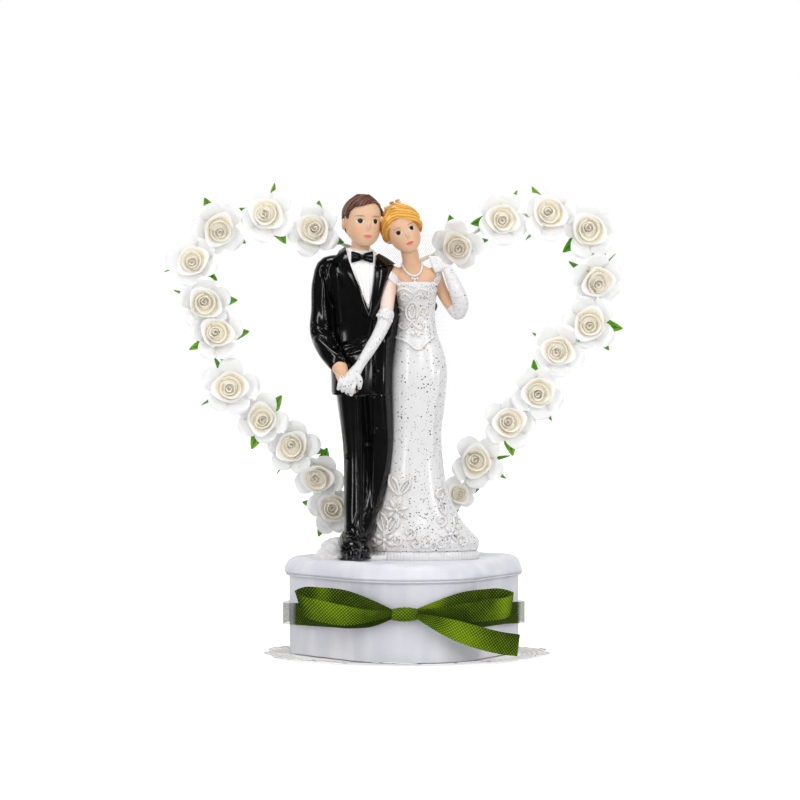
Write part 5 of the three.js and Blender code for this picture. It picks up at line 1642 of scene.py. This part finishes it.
class BuildGroom(bpy.types.Operator):
    """Builds the groom: suit, shirt, bow tie, shoes, hands, head and hair"""

    bl_idname = "topper.build_groom"
    bl_label = "Groom"

    def execute(self, context):
        self.looks = bpy.context.scene.topper_couple
        self.black = suit_material()
        tree = self.jacket()
        self.shirt(tree)
        self.bow_tie()
        self.trousers()
        self.shoe("right_shoe", front_shoe, "groom_shoe_right")
        self.shoe("left_shoe", back_shoe, "groom_shoe_left")
        self.head()
        self.hands()
        return {"FINISHED"}

    def jacket(self):
        """Builds the jacket and returns its surface without the lapels."""
        parts = [turned("torso_part", groom.rows(torso), 48, 40)]
        parts.append(limb("sleeve_part", groom.path(near_sleeve), 30, 8))
        parts.append(limb("far_part", groom.path(far_sleeve), 24, 8))
        form = fused("jacket_skin", parts, 0.37, 14)
        strokes(form, jacket_folds)
        strokes(form, jacket_back, facing=1)
        tree = surface_of(form)
        laid = [
            patch("lapel_part", left, right, tree, 0.8, 1.1, across=11, crown=crown, bevel=0.3)
            for left, right, crown in lapels
        ]
        button = stud("button_part", tree, (-12.5, 0, 118), 0.1, (0.9, 0.5, 0.9))
        form = joined("groom_suit_jacket", [form, *laid, button])
        keep(form, self.black, "resin_black", "groom_jacket")
        return tree

    def shirt(self, tree):
        white = white_paint_material("Shirt paint", with_flecks=False, colour=(0.96, 0.94, 0.94))
        front = patch("shirt_part", *shirt_edges, tree, 0.3, 0.5, across=15)
        rows = [
            (0.81, -0.008, 0.001, 0.04, 0.042),
            (0.835, -0.009, 0.002, 0.039, 0.04),
            (0.846, -0.009, 0.003, 0.036, 0.0365),
            (0.848, -0.009, 0.003, 0.032, 0.033),
        ]
        collar = turned("collar_part", groom.rows(rows), 32, 12)
        modify(front, "SUBSURF", levels=2, render_levels=2)
        strokes(front, shirt_pleats)
        tree = surface_of(collar)
        wings = [patch("wing_part", *edges, tree, 0.5, 0.5, across=7, steps=10) for edges in collar_wings]
        form = joined("dress_shirt", [front, collar, *wings])
        mark(form, cream=0.06)
        keep(form, white, "resin_white", "groom_shirt")

    def bow_tie(self):
        x, y, z = groom.x - 0.9, -0.052 * groom.height, lid_top + 125.0
        parts = []
        for side in (-1, 1):
            t, u = np.meshgrid(np.linspace(0, 1, 9), np.linspace(-1, 1, 9), indexing="ij")
            across = x + side * (0.5 + 4.1 * t)
            wing = np.stack([across, y - 0.6 * np.cos(1.5 * u), z + 0.2 + u * (0.9 + 1.45 * t**0.7)], axis=-1)
            parts.append(woven("tie_part", wing))
            thicken(parts[-1], 1.3)
        parts.append(pebble("tie_knot_part", (x, y - 0.5, z), (1.0, 1.2, 1.2)))
        tie = fused("silk_bow_tie", parts, 0.25, 2)
        ends = ((-4, 0.9, -1.2), (4, -0.8, 1.2))
        creases = [([(x + out, z + up), (x + near, z)], 0.3, -0.3) for out, up, near in ends]
        creases += [([(x + off, z + 2), (x + off, z - 2)], 0.25, -0.4) for off in (1.3, -1.3)]
        strokes(tie, creases)
        keep(tie, self.black, "resin_black", "groom_bow_tie")

    def trousers(self):
        legs = [turned("leg_part", groom.rows(leg), 40, 40) for leg in (front_leg, back_leg)]
        form = fused("suit_trousers", legs, 0.3, 14)
        strokes(form, trouser_folds)
        keep(form, self.black, "resin_black", "groom_trousers")

    def shoe(self, name, table, node_name):
        floor, sole_thickness, laces = lid_top + 0.3, 0.9, 4
        path = groom.path(table)
        upper = limb("upper_part", path, 30, 8)
        sole = limb("sole_part", [(x, y, floor + sole_thickness, r * 1.06) for x, y, _, r in path], 24, 8)
        p = points(sole)
        p[:, 2] = floor + sole_thickness + (p[:, 2] - floor - sole_thickness) * 0.22
        set_points(sole, p)
        form = fused(name, [upper, sole], 0.24, 3)
        x = path[3][0]
        tree = surface_of(form)
        cords = []
        for k in range(laces):
            line = [(x - 1.5, 51.3 - 1.7 * k), (x, 51.7 - 1.7 * k), (x + 1.5, 51.2 - 1.7 * k)]
            cords.append(cord(tree, line, (0.3, 0.45, 0.3), lift=0.2))
        toe_cap = [(x - 3.9, 43.6), (x - 2, 44.4), (x, 44.8), (x + 2, 44.4), (x + 3.9, 43.2)]
        cords.append(cord(tree, toe_cap, (0.25, 0.25)))
        cords.append(cord(tree, [(x - 3.2, 50.4), (x - 3.0, 47), (x - 2.2, 45.6)], (0.3, 0.3)))
        form = joined(name, [form, *cords])
        rest_on(form, floor)
        keep(form, self.black, "resin_black", node_name)

    def head(self):
        rows = [(0.805, -0.006, 0.004, 0.026, 0.027), (0.86, -0.005, 0.005, 0.026, 0.027)]
        rows.append((0.9, -0.004, 0.006, 0.027, 0.03))
        form = head_form("groom_face", groom_head, [turned("neck_part", groom.rows(rows), 32, 12)])
        face_paint(form, groom_head, self.looks.skin, (0.85, 0.25, 0.18), (0.25, 0.12, 0.08))
        keep(form, skin_material(), "resin_skin", "groom_head")
        hair = hair_cap("groom_swept_hair", groom_head, 0.04, 0.045, 1.045, groom_hairline, 0.9, 3)
        q = groom_head.shares(hair)
        away = q - np.array([0.3, -0.1, 0.98])
        angle = np.arctan2(away[:, 1] + 0.3 * away[:, 2], away[:, 0] + 0.4 * away[:, 2])
        strand = np.sin(46 * angle + 2.5 * np.sin(5 * angle) + 5 * q[:, 2])
        tuft = np.sin(15 * angle + 3 * q[:, 2])
        push(hair, 0.12 * strand + 0.14 * tuft)
        # The painted highlight fades out towards the lower hair.
        high = np.clip(3.2 * q[:, 2] - 1.6, 0.15, 1)
        mark(hair, strand=np.clip(0.1 + 0.55 * strand + 0.25 * tuft, 0, 1) * high)
        brown = self.looks.brown_hair
        looks = hair_material("Brown hair paint", brown, tuple(min(1, 4.2 * c) for c in brown))
        keep(hair, looks, "resin_brown", "groom_hair")

    def hands(self):
        """The hand in front that holds the bride's, and the one that rests on their back."""
        palm = [(-0.076, -0.076, 0.54, 0.019), (-0.068, -0.09, 0.523, 0.021), (-0.062, -0.1, 0.508, 0.016)]
        joints = ((0, -15.4, 3, 1.1), (1, -16.6, 0.6, 1.05), (2.2, -16.3, -1.2, 0.85))
        near = [limb("palm_part", groom.path(palm), 12, 6), *fingers((-29.5, 113.6), (1.5, -0.9), joints)]
        palm = [(10.2, 10.0, 143.2, 2.1), (8.0, 9.6, 140.8, 2.4), (6.4, 9.3, 139.0, 2.1)]
        joints = ((0.8, 9.2, 0, 1.0), (0, 8.9, -3.2, 0.95), (-0.3, 8.2, -5.6, 0.8))
        far = [limb("palm_part", palm, 12, 6), *fingers((3.2, 139.4), (1.6, -0.5), joints)]
        for name, parts, *nodes in (("groom_holding_hand", near, "groom_hand"), ("groom_resting_hand", far)):
            form = fused(name, parts, 0.3, 2)
            plain_skin(form, self.looks.skin)
            keep(form, skin_material(), "resin_skin", *nodes)


waist_line = [(-4.9, 132.2), (-0.6, 130.4), (4.6, 127.0), (7.6, 129.8), (10.9, 132.2)]
neck_line = [(-4.9, 153.4), (-0.5, 153.6), (4.2, 152.6), (8.8, 153.4), (13.0, 153.6)]
cuff_line = [(-13.6, 141.4), (-10.6, 140.6), (-7.4, 138.8)]
bead_line = [
    (-1.6, 162.2), (-0.8, 159.8), (0.9, 158.0), (2.8, 157.3), (4.7, 158.0), (5.9, 159.8), (6.4, 162.2)
]
skirt_folds = [
    ([(13.4, 118), (13.0, 112), (11.4, 103.9), (10.4, 93.3), (10.6, 84)], 0.7, 0.35),
    ([(14.6, 118), (14.4, 112), (13.0, 104), (12.0, 93.3), (12.2, 84)], 0.8, -0.4),
]
# The right half of the bodice's scrolls. The other half is its mirror image
bodice_middle = 1.9
bodice_scrolls = [
    [(2.0, 146.8), (3.6, 149.4), (5.6, 149.8), (6.3, 148.2), (5.0, 147.4)],
    [(2.2, 150.4), (4.6, 152.0), (7.2, 151.6), (8.8, 149.8), (7.9, 148.2)],
    [(4.9, 142.8), (6.7, 144.6), (8.1, 142.9), (7.0, 141.0), (5.9, 141.8)],
    [(2.0, 138.4), (3.6, 136.2), (5.8, 135.6), (6.8, 137.2), (5.7, 138.2)],
]
straps = [
    ([(-10.4, 158.8), (-8.0, 156.4), (-4.9, 153.8)], [(-8.4, 161.2), (-5.4, 158.2), (-2.2, 154.8)]),
    ([(10.8, 154.4), (12.2, 157.6), (12.8, 161.0)], [(13.4, 154.0), (14.4, 157.0), (14.8, 160.2)]),
]
tiara_places = [(-9.4, 183.0), (-8.0, 185.2), (-6.0, 186.9), (-10.4, 180.6), (-3.4, 188.0)]
# Each row of the veil: z, x, y, half width and how far its right edge comes forward, as shares of the height
veil_rows = [
    (0.995, -0.052, 0.062, 0.035, 0.01),
    (0.955, -0.04, 0.096, 0.06, 0.03),
    (0.9, -0.022, 0.108, 0.085, 0.05),
    (0.84, -0.012, 0.112, 0.1, 0.055),
    (0.76, -0.008, 0.124, 0.105, 0.04),
    (0.66, -0.006, 0.126, 0.105, 0.02),
    (0.55, -0.004, 0.118, 0.105, 0.01),
    (0.44, -0.004, 0.11, 0.105, 0.005),
]


def flower(x, z, reach, count, start, fat):
    """A raised flower: lines in x and z with the radii of their cords."""
    lines = []
    for a in start + np.arange(count) * 2 * math.pi / count:
        way = np.array([math.cos(a), math.sin(a)]) * reach
        lines.append(([(x, z) + way * t for t in (0.25, 0.65, 1)], (0.3, fat, 0.4)))
    return [*lines, ([(x - 0.3, z), (x, z), (x + 0.3, z)], (0.7, 0.8, 0.7))]


def sprig(x, z, angle, length, half):
    """A raised leaf: its two sides and its rib."""
    ahead = np.array([math.cos(angle), math.sin(angle)]) * length
    side = np.array([-math.sin(angle), math.cos(angle)]) * half
    root = np.array([x, z])
    lines = []
    for way in (-1, 1):
        bend = [root, root + 0.3 * ahead + 0.8 * way * side, root + 0.6 * ahead + way * side, root + ahead]
        lines.append((bend, (0.4, 0.6, 0.4)))
    return [*lines, ([root, root + 0.5 * ahead, root + 0.85 * ahead], (0.35, 0.35, 0.2))]


def scroll(x, z, radius, start, sweep):
    """A raised curl that winds inwards."""
    t = np.linspace(0, 1, 9)
    r = radius * (1 - 0.62 * t)
    line = np.column_stack([x + r * np.cos(start + sweep * t), z + r * np.sin(start + sweep * t)])
    return [(line, (0.35, 0.6, 0.5))]


skirt_ornament = [
    *sprig(-3.7, 66.8, 1.95, 8.6, 1.5),
    *sprig(-3.5, 66.8, 1.0, 8.4, 1.5),
    *flower(-4.8, 60.5, 4.6, 7, 0.25, 0.85),
    *sprig(-9.2, 50.8, 1.75, 9.2, 1.8),
    *sprig(-8.6, 50.8, 1.0, 9.0, 1.8),
    *flower(-9.6, 48.2, 3.8, 6, 0.5, 0.95),
    *scroll(-4.6, 48.2, 2.2, 3.1, 6.5),
    *scroll(-13.6, 47.4, 1.8, 0.2, -6.5),
    *scroll(0.4, 51.4, 2.9, 4.4, 5.6),
    *scroll(2.8, 46.8, 2.2, 1.6, -6),
    *scroll(7.6, 47.6, 2.9, 1.5, 6.2),
    *scroll(13.0, 47.4, 2.9, 1.6, -6.2),
    *flower(17.6, 50.6, 3.4, 6, 0.1, 0.8),
    *scroll(13.6, 56.2, 2.4, 4.6, 6.2),
    *scroll(22.4, 47.6, 2.5, 2.6, -6.2),
    *scroll(13.4, 67.0, 2.4, 0, 6.4),
    *sprig(15.4, 58.6, 1.9, 6.5, 1.2),
    *sprig(20.6, 52.6, 1.7, 6, 1.1),
]


class BuildBride(bpy.types.Operator):
    """Builds the bride: dress, gloves, arms, head, hair, flowers, necklace, veil and the ground"""

    bl_idname = "topper.build_bride"
    bl_label = "Bride"

    def execute(self, context):
        self.looks = bpy.context.scene.topper_couple
        self.white = white_paint_material()
        self.skirt()
        chest = self.arms()
        self.right_glove()
        self.left_glove()
        self.necklace(chest)
        self.bodice(chest)
        self.head()
        self.veil()
        self.plinth()
        return {"FINISHED"}

    def glitter(self, form, base=0.2):
        """How thick the flecks lie: more on the right side and low on the skirt."""
        x, _, z = points(form).T
        right = np.clip((x - bride.x + 2) / 9, 0, 1)
        low = np.clip((90 - z) / 30, 0, 1) * np.clip((x - bride.x + 12) / 10, 0, 1)
        return base + 0.45 * np.maximum(right, low)

    def skirt(self):
        form = fused("dress_skirt", [turned("skirt_part", bride.rows(skirt), 64, 70)], 0.38, 1)
        strokes(form, skirt_folds)
        count = len(form.data.vertices)
        tree = surface_of(form)
        cords = [cord(tree, waist_line, (0.6, 0.75, 0.6), lift=0.2)]
        for back in (60, -60):
            for line, radii in skirt_ornament:
                cords.append(cord(tree, line, [1.15 * r for r in radii], back, 0.3))
        form = joined("dress_skirt", [form, *cords])
        p = points(form)
        left = np.clip((5 - p[:, 0]) / 9, 0, 1) * np.clip((82 - p[:, 2]) / 12, 0, 1)
        low = np.clip((60 - p[:, 2]) / 10, 0, 1)
        raised = np.arange(len(p)) >= count
        # Painted shade: the tint colour is laid into the recesses beside the waist line and the ornament; the
        # raised cords and the lower left only take a tint.
        recess_shade = painted_recess_shade(p, [waist_line, *[line for line, _ in skirt_ornament]])
        mark(
            form,
            cream=np.where(raised, 0.15 * left, 0.2 * left + (0.6 + 0.3 * left) * recess_shade),
            lace=np.where(raised, 0, np.maximum(left, 0.7 * low)),
            glitter=self.glitter(form),
        )
        keep(form, self.white, "resin_white", "bride_skirt")

    def bodice(self, chest):
        form = fused("dress_bodice", [turned("bodice_part", bride.rows(bodice), 48, 30)], 0.32, 1)
        count = len(form.data.vertices)
        tree = surface_of(form)
        turns = np.linspace(0, 2 * math.pi, 13)
        lines = [
            np.column_stack([bodice_middle + a * np.cos(turns), 142.6 + b * np.sin(turns)])
            for a, b in ((2.3, 4.0), (1.1, 2.5))
        ]
        for line in bodice_scrolls:
            lines += [[(bodice_middle + side * (x - bodice_middle), z) for x, z in line] for side in (-1, 1)]
        cords = [cord(tree, line, (0.4, 0.55, 0.45), lift=0.15) for line in lines]
        for k, (x, y, z) in enumerate(laid_on(tree, drawn(neck_line, 20), 0.1)):
            cords.append(pebble("scallop_part", (x, y, z + 0.35 * (k % 2)), (0.72, 0.6, 0.8)))
        for a in np.linspace(0, 5.03, 5):
            place = (3.2 + 1.3 * math.cos(a), 0, 132.8 + 1.3 * math.sin(a))
            cords.append(stud("brooch_part", tree, place, 0.3, (0.85, 0.5, 0.85)))
        cords += [patch("strap_part", *edges, chest, 0.2, 0.35, across=7, steps=12) for edges in straps]
        form = joined("dress_bodice", [form, *cords])
        raised = np.arange(len(form.data.vertices)) >= count
        # Painted shade: the tint colour is laid into the recesses beside the scrolls.
        recess_shade = painted_recess_shade(points(form), lines)
        mark(
            form,
            cream=np.where(raised, 0, 0.08 + 0.9 * recess_shade),
            lace=np.where(raised, 0, 1.0),
            glitter=self.glitter(form, 0.36),
        )
        keep(form, self.white, "resin_white", "bride_bodice", "waist_flower")

    def arms(self):
        """Builds the shoulders with both arms, and returns their surface."""
        parts = [turned("chest_part", bride.rows(shoulders), 40, 36)]
        parts += [limb("arm_part", bride.path(arm), 24, 7) for arm in (right_arm, left_arm)]
        form = fused("bride_skin", parts, 0.34, 4)
        plain_skin(form, self.looks.skin, -4.5)
        nodes = ("bride_shoulders", "bride_upper_arm_right", "bride_upper_arm_left")
        keep(form, skin_material(), "resin_skin", *nodes)
        return surface_of(form)

    def right_glove(self):
        palm = [(-0.186, -0.112, 0.525, 0.016), (-0.2, -0.116, 0.503, 0.021), (-0.207, -0.118, 0.49, 0.019)]
        joints = ((0.8, -19.0, 0, 1.0), (0.1, -19.4, -2.4, 1.0), (-0.4, -17.6, -4.6, 0.8))
        thumb = [(-22.4, -18.2, 117.5, 1.3), (-20.6, -18.6, 114.4, 1.2), (-20.8, -18.0, 111.6, 1.0)]
        hand = [limb("glove_part", bride.path(right_sleeve), 30, 7)]
        hand.append(limb("palm_part", bride.path(palm), 12, 7))
        hand += [*fingers((-29.0, 115.6), (1.75, -0.8), joints), limb("thumb_part", thumb, 10, 4)]
        form = fused("right_lace_glove", hand, 0.27, 1)
        tree = surface_of(form)
        cuff = [stud("cuff_part", tree, place, 0.1, (0.75, 0.5, 0.8)) for place in drawn(cuff_line, 7)]
        form = joined("right_lace_glove", [form, *cuff])
        mark(form, cream=0.06, lace=1.0, glitter=0.22)
        keep(form, self.white, "resin_white", "bride_glove_right")

    def left_glove(self):
        parts = [limb("glove_part", bride.path(left_sleeve), 30, 7)]
        for k in range(4):
            x, z = 15.6 - 1.15 * k, 160.6 - 0.3 * k
            tip = [(x, -3.6, z, 1.0), (x - 1.2, -3.4, z + 2.6, 0.9), (x - 2.4, -2.4, z + 4.4 + 0.4 * k, 0.7)]
            parts.append(limb("finger_part", tip, 10, 4))
        form = fused("left_lace_glove", parts, 0.32, 2)
        mark(form, cream=0.04, lace=1.0, glitter=0.3)
        keep(form, self.white, "resin_white", "bride_glove_left")

    def necklace(self, chest):
        beads = [stud("bead_part", chest, place, 0.35, (0.48, 0.48, 0.48)) for place in drawn(bead_line, 24)]
        for dx, dz in ((0, -1.2), (-1.0, -0.9), (1.0, -0.9), (0, -2.2)):
            beads.append(stud("bead_part", chest, (3.1 + dx, 0, 157.2 + dz), 0.4, (0.55, 0.5, 0.55)))
        form = joined("pearl_necklace", beads)
        mark(form, cream=0.15)
        looks = white_paint_material("Pearl beads", with_flecks=False)
        keep(form, looks, "resin_white", "bride_necklace")

    def head(self):
        form = head_form("bride_face", bride_head)
        face_paint(form, bride_head, self.looks.skin, (0.85, 0.2, 0.13), (0.45, 0.25, 0.12))
        keep(form, skin_material(), "resin_skin", "bride_head")
        cap = hair_cap("hair_part", bride_head, 0.06, 0.07, 1.13, bride_hairline, 1.3)
        bun = bride_head.out(pebble("bun_part", (0, 0.5, 0.66), (0.26, 0.22, 0.24)))
        locks = [lock(bride_head, line, radii) for line, radii in bride_locks]
        hair = fused("golden_updo", [cap, bun, *locks], 0.26, 2)
        q = bride_head.shares(hair)
        above = q[:, 2] - hairline(q, bride_hairline)
        around = np.arctan2(q[:, 0], -q[:, 1])
        strand = np.sin(95 * above + 5 * np.sin(2.2 * around) + 8 * q[:, 1])
        wave = np.sin(33 * above + 3 * np.sin(2.5 * around))
        push(hair, 0.1 * strand + 0.07 * wave)
        # Painted highlight along the raised strands, left out on the far left of the head, which keeps the
        # darker colour there.
        mark(hair, strand=np.clip(0.45 + 0.45 * strand + 0.2 * wave - 0.5 * (q[:, 0] < -0.3), 0, 1))
        looks = hair_material("Golden hair paint", dimmed(self.looks.golden_hair, 0.58), (0.98, 0.55, 0.11))
        keep(hair, looks, "resin_blonde", "bride_hair")
        self.tiara(surface_of(hair))

    def tiara(self, tree):
        blooms = []
        for x, y, z in laid_on(tree, [(x, 0, z) for x, z in tiara_places], 0.3):
            for a in np.linspace(0, 5.03, 5):
                place = (x + 0.75 * math.cos(a), y - 0.1, z + 0.75 * math.sin(a))
                blooms.append(pebble("bloom_part", place, (0.58, 0.42, 0.58)))
            blooms.append(pebble("bloom_part", (x, y - 0.4, z), (0.4, 0.4, 0.4)))
        keep(joined("tiara_flowers", blooms), gold_material(), "resin_gold", "hair_flowers")

    def veil(self):
        rows = through(veil_rows, 60)
        across = np.linspace(-1, 1, 65)
        p = []
        for i, (z, x, y, half, forward) in enumerate(rows):
            fold = 0.9 * np.sin(4 * math.pi * across + i * 0.04)
            fold += 0.3 * np.sin(9 * math.pi * across + i * 0.1)
            wrap = forward * np.maximum(across, 0) ** 2
            line = [bride.x + (x + half * across) * bride.height, (y - wrap) * bride.height + fold + 0.3]
            p.append(ringed(np.column_stack(line), lid_top + z * bride.height))
        form = woven("tulle_veil", np.array(p))
        down = np.repeat(np.linspace(0, 1, len(rows)), len(across))
        edges = np.abs(np.tile(across, len(rows))) ** 3
        mark(form, fade=(1 - edges) * np.clip((1 - down) * 4, 0, 1))
        thicken(form, 0.12)
        keep(form, tulle_material(), "tulle", "veil")

    def plinth(self):
        low, high = box_mm("figure_plinth")
        foot, top = low[2] - 0.5, high[2]
        parts = []
        for x, y, wide, deep, rise in ((7.8, 1.4, 22.6, 15.6, top), (-18.6, 0.4, 13.4, 13.4, top - 1.4)):
            rows = [
                (foot, x, y, wide, deep),
                (foot + 1, x, y, wide + 0.5, deep + 0.4),
                (rise - 0.6, x, y, wide + 0.3, deep + 0.2),
                (rise + 0.2, x, y, wide - 0.6, deep - 0.6),
            ]
            parts.append(turned("ground_part", rows, 64, 10))
        parts.append(pebble("mound_part", (-29.2, 6, foot + 1), (6.6, 7, 8.2)))
        parts.append(pebble("mound_part", (-33.2, 4.5, foot), (5.0, 7, 5), (0, 0.3, 0)))
        form = fused("cast_ground", parts, 0.36, 3)
        ticks = [([(x, 43.2), (x, 39.2)], 0.26, -0.3) for x in np.arange(-14, 29, 1.3)]
        strokes(form, ticks)
        strokes(form, ticks, facing=1)
        p = points(form)
        lumps = np.clip((-24 - p[:, 0]) / 4, 0, 1) * (p[:, 2] > foot + 0.4)
        push(form, 0.35 * lumps * ripple(p, 5, 12))
        rest_on(form, foot)
        mark(form, cream=0.08)
        looks = white_paint_material("Ground paint", with_flecks=False)
        keep(form, looks, "resin_white", "figure_plinth")


# The stage


def aimed(form, place, target):
    """Puts a lamp or the camera in its place, facing a target."""
    form.location = place
    form.rotation_euler = (Vector(target) - form.location).to_track_quat("-Z", "Y").to_euler()


def seen_directly(tree):
    """The light path's outputs, and 1 where the camera sees something directly or through a thin sheet."""
    path = node(tree, "ShaderNodeLightPath").outputs
    return path, sums(tree, "MAXIMUM", path["Is Camera Ray"], path["Is Transmission Ray"])


class BuildStage(bpy.types.Operator):
    """Sets up the white floor, the soft lights and the camera"""

    bl_idname = "topper.build_stage"
    bl_label = "Stage"

    def execute(self, context):
        self.floor()
        self.world(context.scene)
        self.lamp("Left softbox", (-0.75, -0.75, 0.42), (0.18, 0.7), 2.3)
        self.lamp("Right softbox", (0.75, -0.75, 0.42), (0.15, 0.6), 2.1)
        self.lamp("Front softbox", (0.12, -1.15, 0.5), (0.4, 0.3), 1.4)
        self.lamp("Top softbox", (-0.05, -0.22, 0.93), (0.35, 0.26), 2.1)
        camera = linked("Camera", bpy.data.cameras.new("Camera"))
        aimed(camera, (-0.155, -1.743, 0.14), (-0.0025, 0, 0.106))
        camera.data.lens, camera.data.sensor_width = 189.76, 36
        context.scene.camera = camera
        context.scene.view_settings.view_transform = "Standard"
        return {"FINISHED"}

    def lamp(self, name, place, size, power):
        light = bpy.data.lights.new(name, "AREA")
        light.shape, light.size, light.size_y, light.energy = "RECTANGLE", *size, power
        aimed(linked(name, light), place, (0, 0, 0.1))

    def world(self, scene):
        """White all round for the camera, dimmer as a light, with reflections darker at the front."""
        world = bpy.data.worlds.new("White surround")
        scene.world = world
        world.use_nodes = True
        tree = world.node_tree
        path, seen = seen_directly(tree)
        way = split(tree, node(tree, "ShaderNodeTexCoord").outputs["Generated"])
        strength = sums(tree, "MULTIPLY_ADD", seen, 0.31, 0.69)
        gloss = sums(tree, "MULTIPLY_ADD", ramp(tree, way["Y"], 0.3, 0.95), 0.95, -0.65)
        strength = sums(tree, "MULTIPLY_ADD", path["Is Glossy Ray"], gloss, strength)
        back = tree.nodes["Background"]
        back.inputs["Color"].default_value = (1, 1, 1, 1)
        tree.links.new(strength, back.inputs["Strength"])

    def floor(self):
        """A white table that glows for the camera and is darker in reflections at the front."""
        clear()
        bpy.ops.mesh.primitive_grid_add(x_subdivisions=4, y_subdivisions=4, size=8)
        floor = bpy.context.object
        floor.name = "white_table"
        floor.location.z = -0.0002
        material, tree, spot = new_material("White table", Roughness=1, Specular_IOR_Level=0)
        path, seen = seen_directly(tree)
        shader = tree.nodes["Principled BSDF"].outputs[0]
        glow = node(tree, "ShaderNodeEmission", {"Color": (1, 1, 1, 1), "Strength": 0.7}).outputs[0]
        both = node(tree, "ShaderNodeAddShader", {0: shader, 1: glow}).outputs[0]
        gloss = sums(tree, "MULTIPLY", path["Is Glossy Ray"], ramp(tree, split(tree, spot)["Y"], 0.1, 0.5))
        front = sums(tree, "SUBTRACT", path["Is Glossy Ray"], gloss)
        feed(tree, "Base Color", blend(tree, front, (0.8, 0.8, 0.8), (0.07, 0.07, 0.07)))
        shown = sums(tree, "MAXIMUM", seen, gloss)
        mixed = node(tree, "ShaderNodeMixShader", {0: shown, 1: shader, 2: both}).outputs[0]
        tree.links.new(mixed, tree.nodes["Material Output"].inputs["Surface"])
        floor.data.materials.append(material)


class TopperPanel(bpy.types.Panel):
    """Lists what can be changed and builds the parts of the topper"""

    bl_idname = "VIEW3D_PT_topper"
    bl_label = "Cake topper"
    bl_space_type = "VIEW_3D"
    bl_region_type = "UI"
    bl_category = "Topper"

    def draw(self, context):
        for group in (context.scene.topper_box, context.scene.topper_couple, context.scene.topper_arch):
            column = self.layout.column(align=True)
            for name in group.__annotations__:
                column.prop(group, name)
        for operator in operators:
            self.layout.operator(operator.bl_idname)


operators = (BuildStage, BuildBox, BuildRibbon, BuildArch, BuildGroom, BuildBride)
property_groups = {"topper_box": BoxLooks, "topper_couple": CoupleLooks, "topper_arch": ArchLooks}
classes = (*property_groups.values(), *operators, TopperPanel)


def register():
    for cls in classes:
        bpy.utils.register_class(cls)
    for name, group in property_groups.items():
        setattr(bpy.types.Scene, name, bpy.props.PointerProperty(type=group))


def unregister():
    for name in property_groups:
        delattr(bpy.types.Scene, name)
    for cls in reversed(classes):
        bpy.utils.unregister_class(cls)


def main():
    register()
    bpy.ops.topper.build_stage()
    bpy.ops.topper.build_box()
    bpy.ops.topper.build_ribbon()
    bpy.ops.topper.build_arch()
    bpy.ops.topper.build_groom()
    bpy.ops.topper.build_bride()
    clear()


if __name__ == "__main__":
    main()
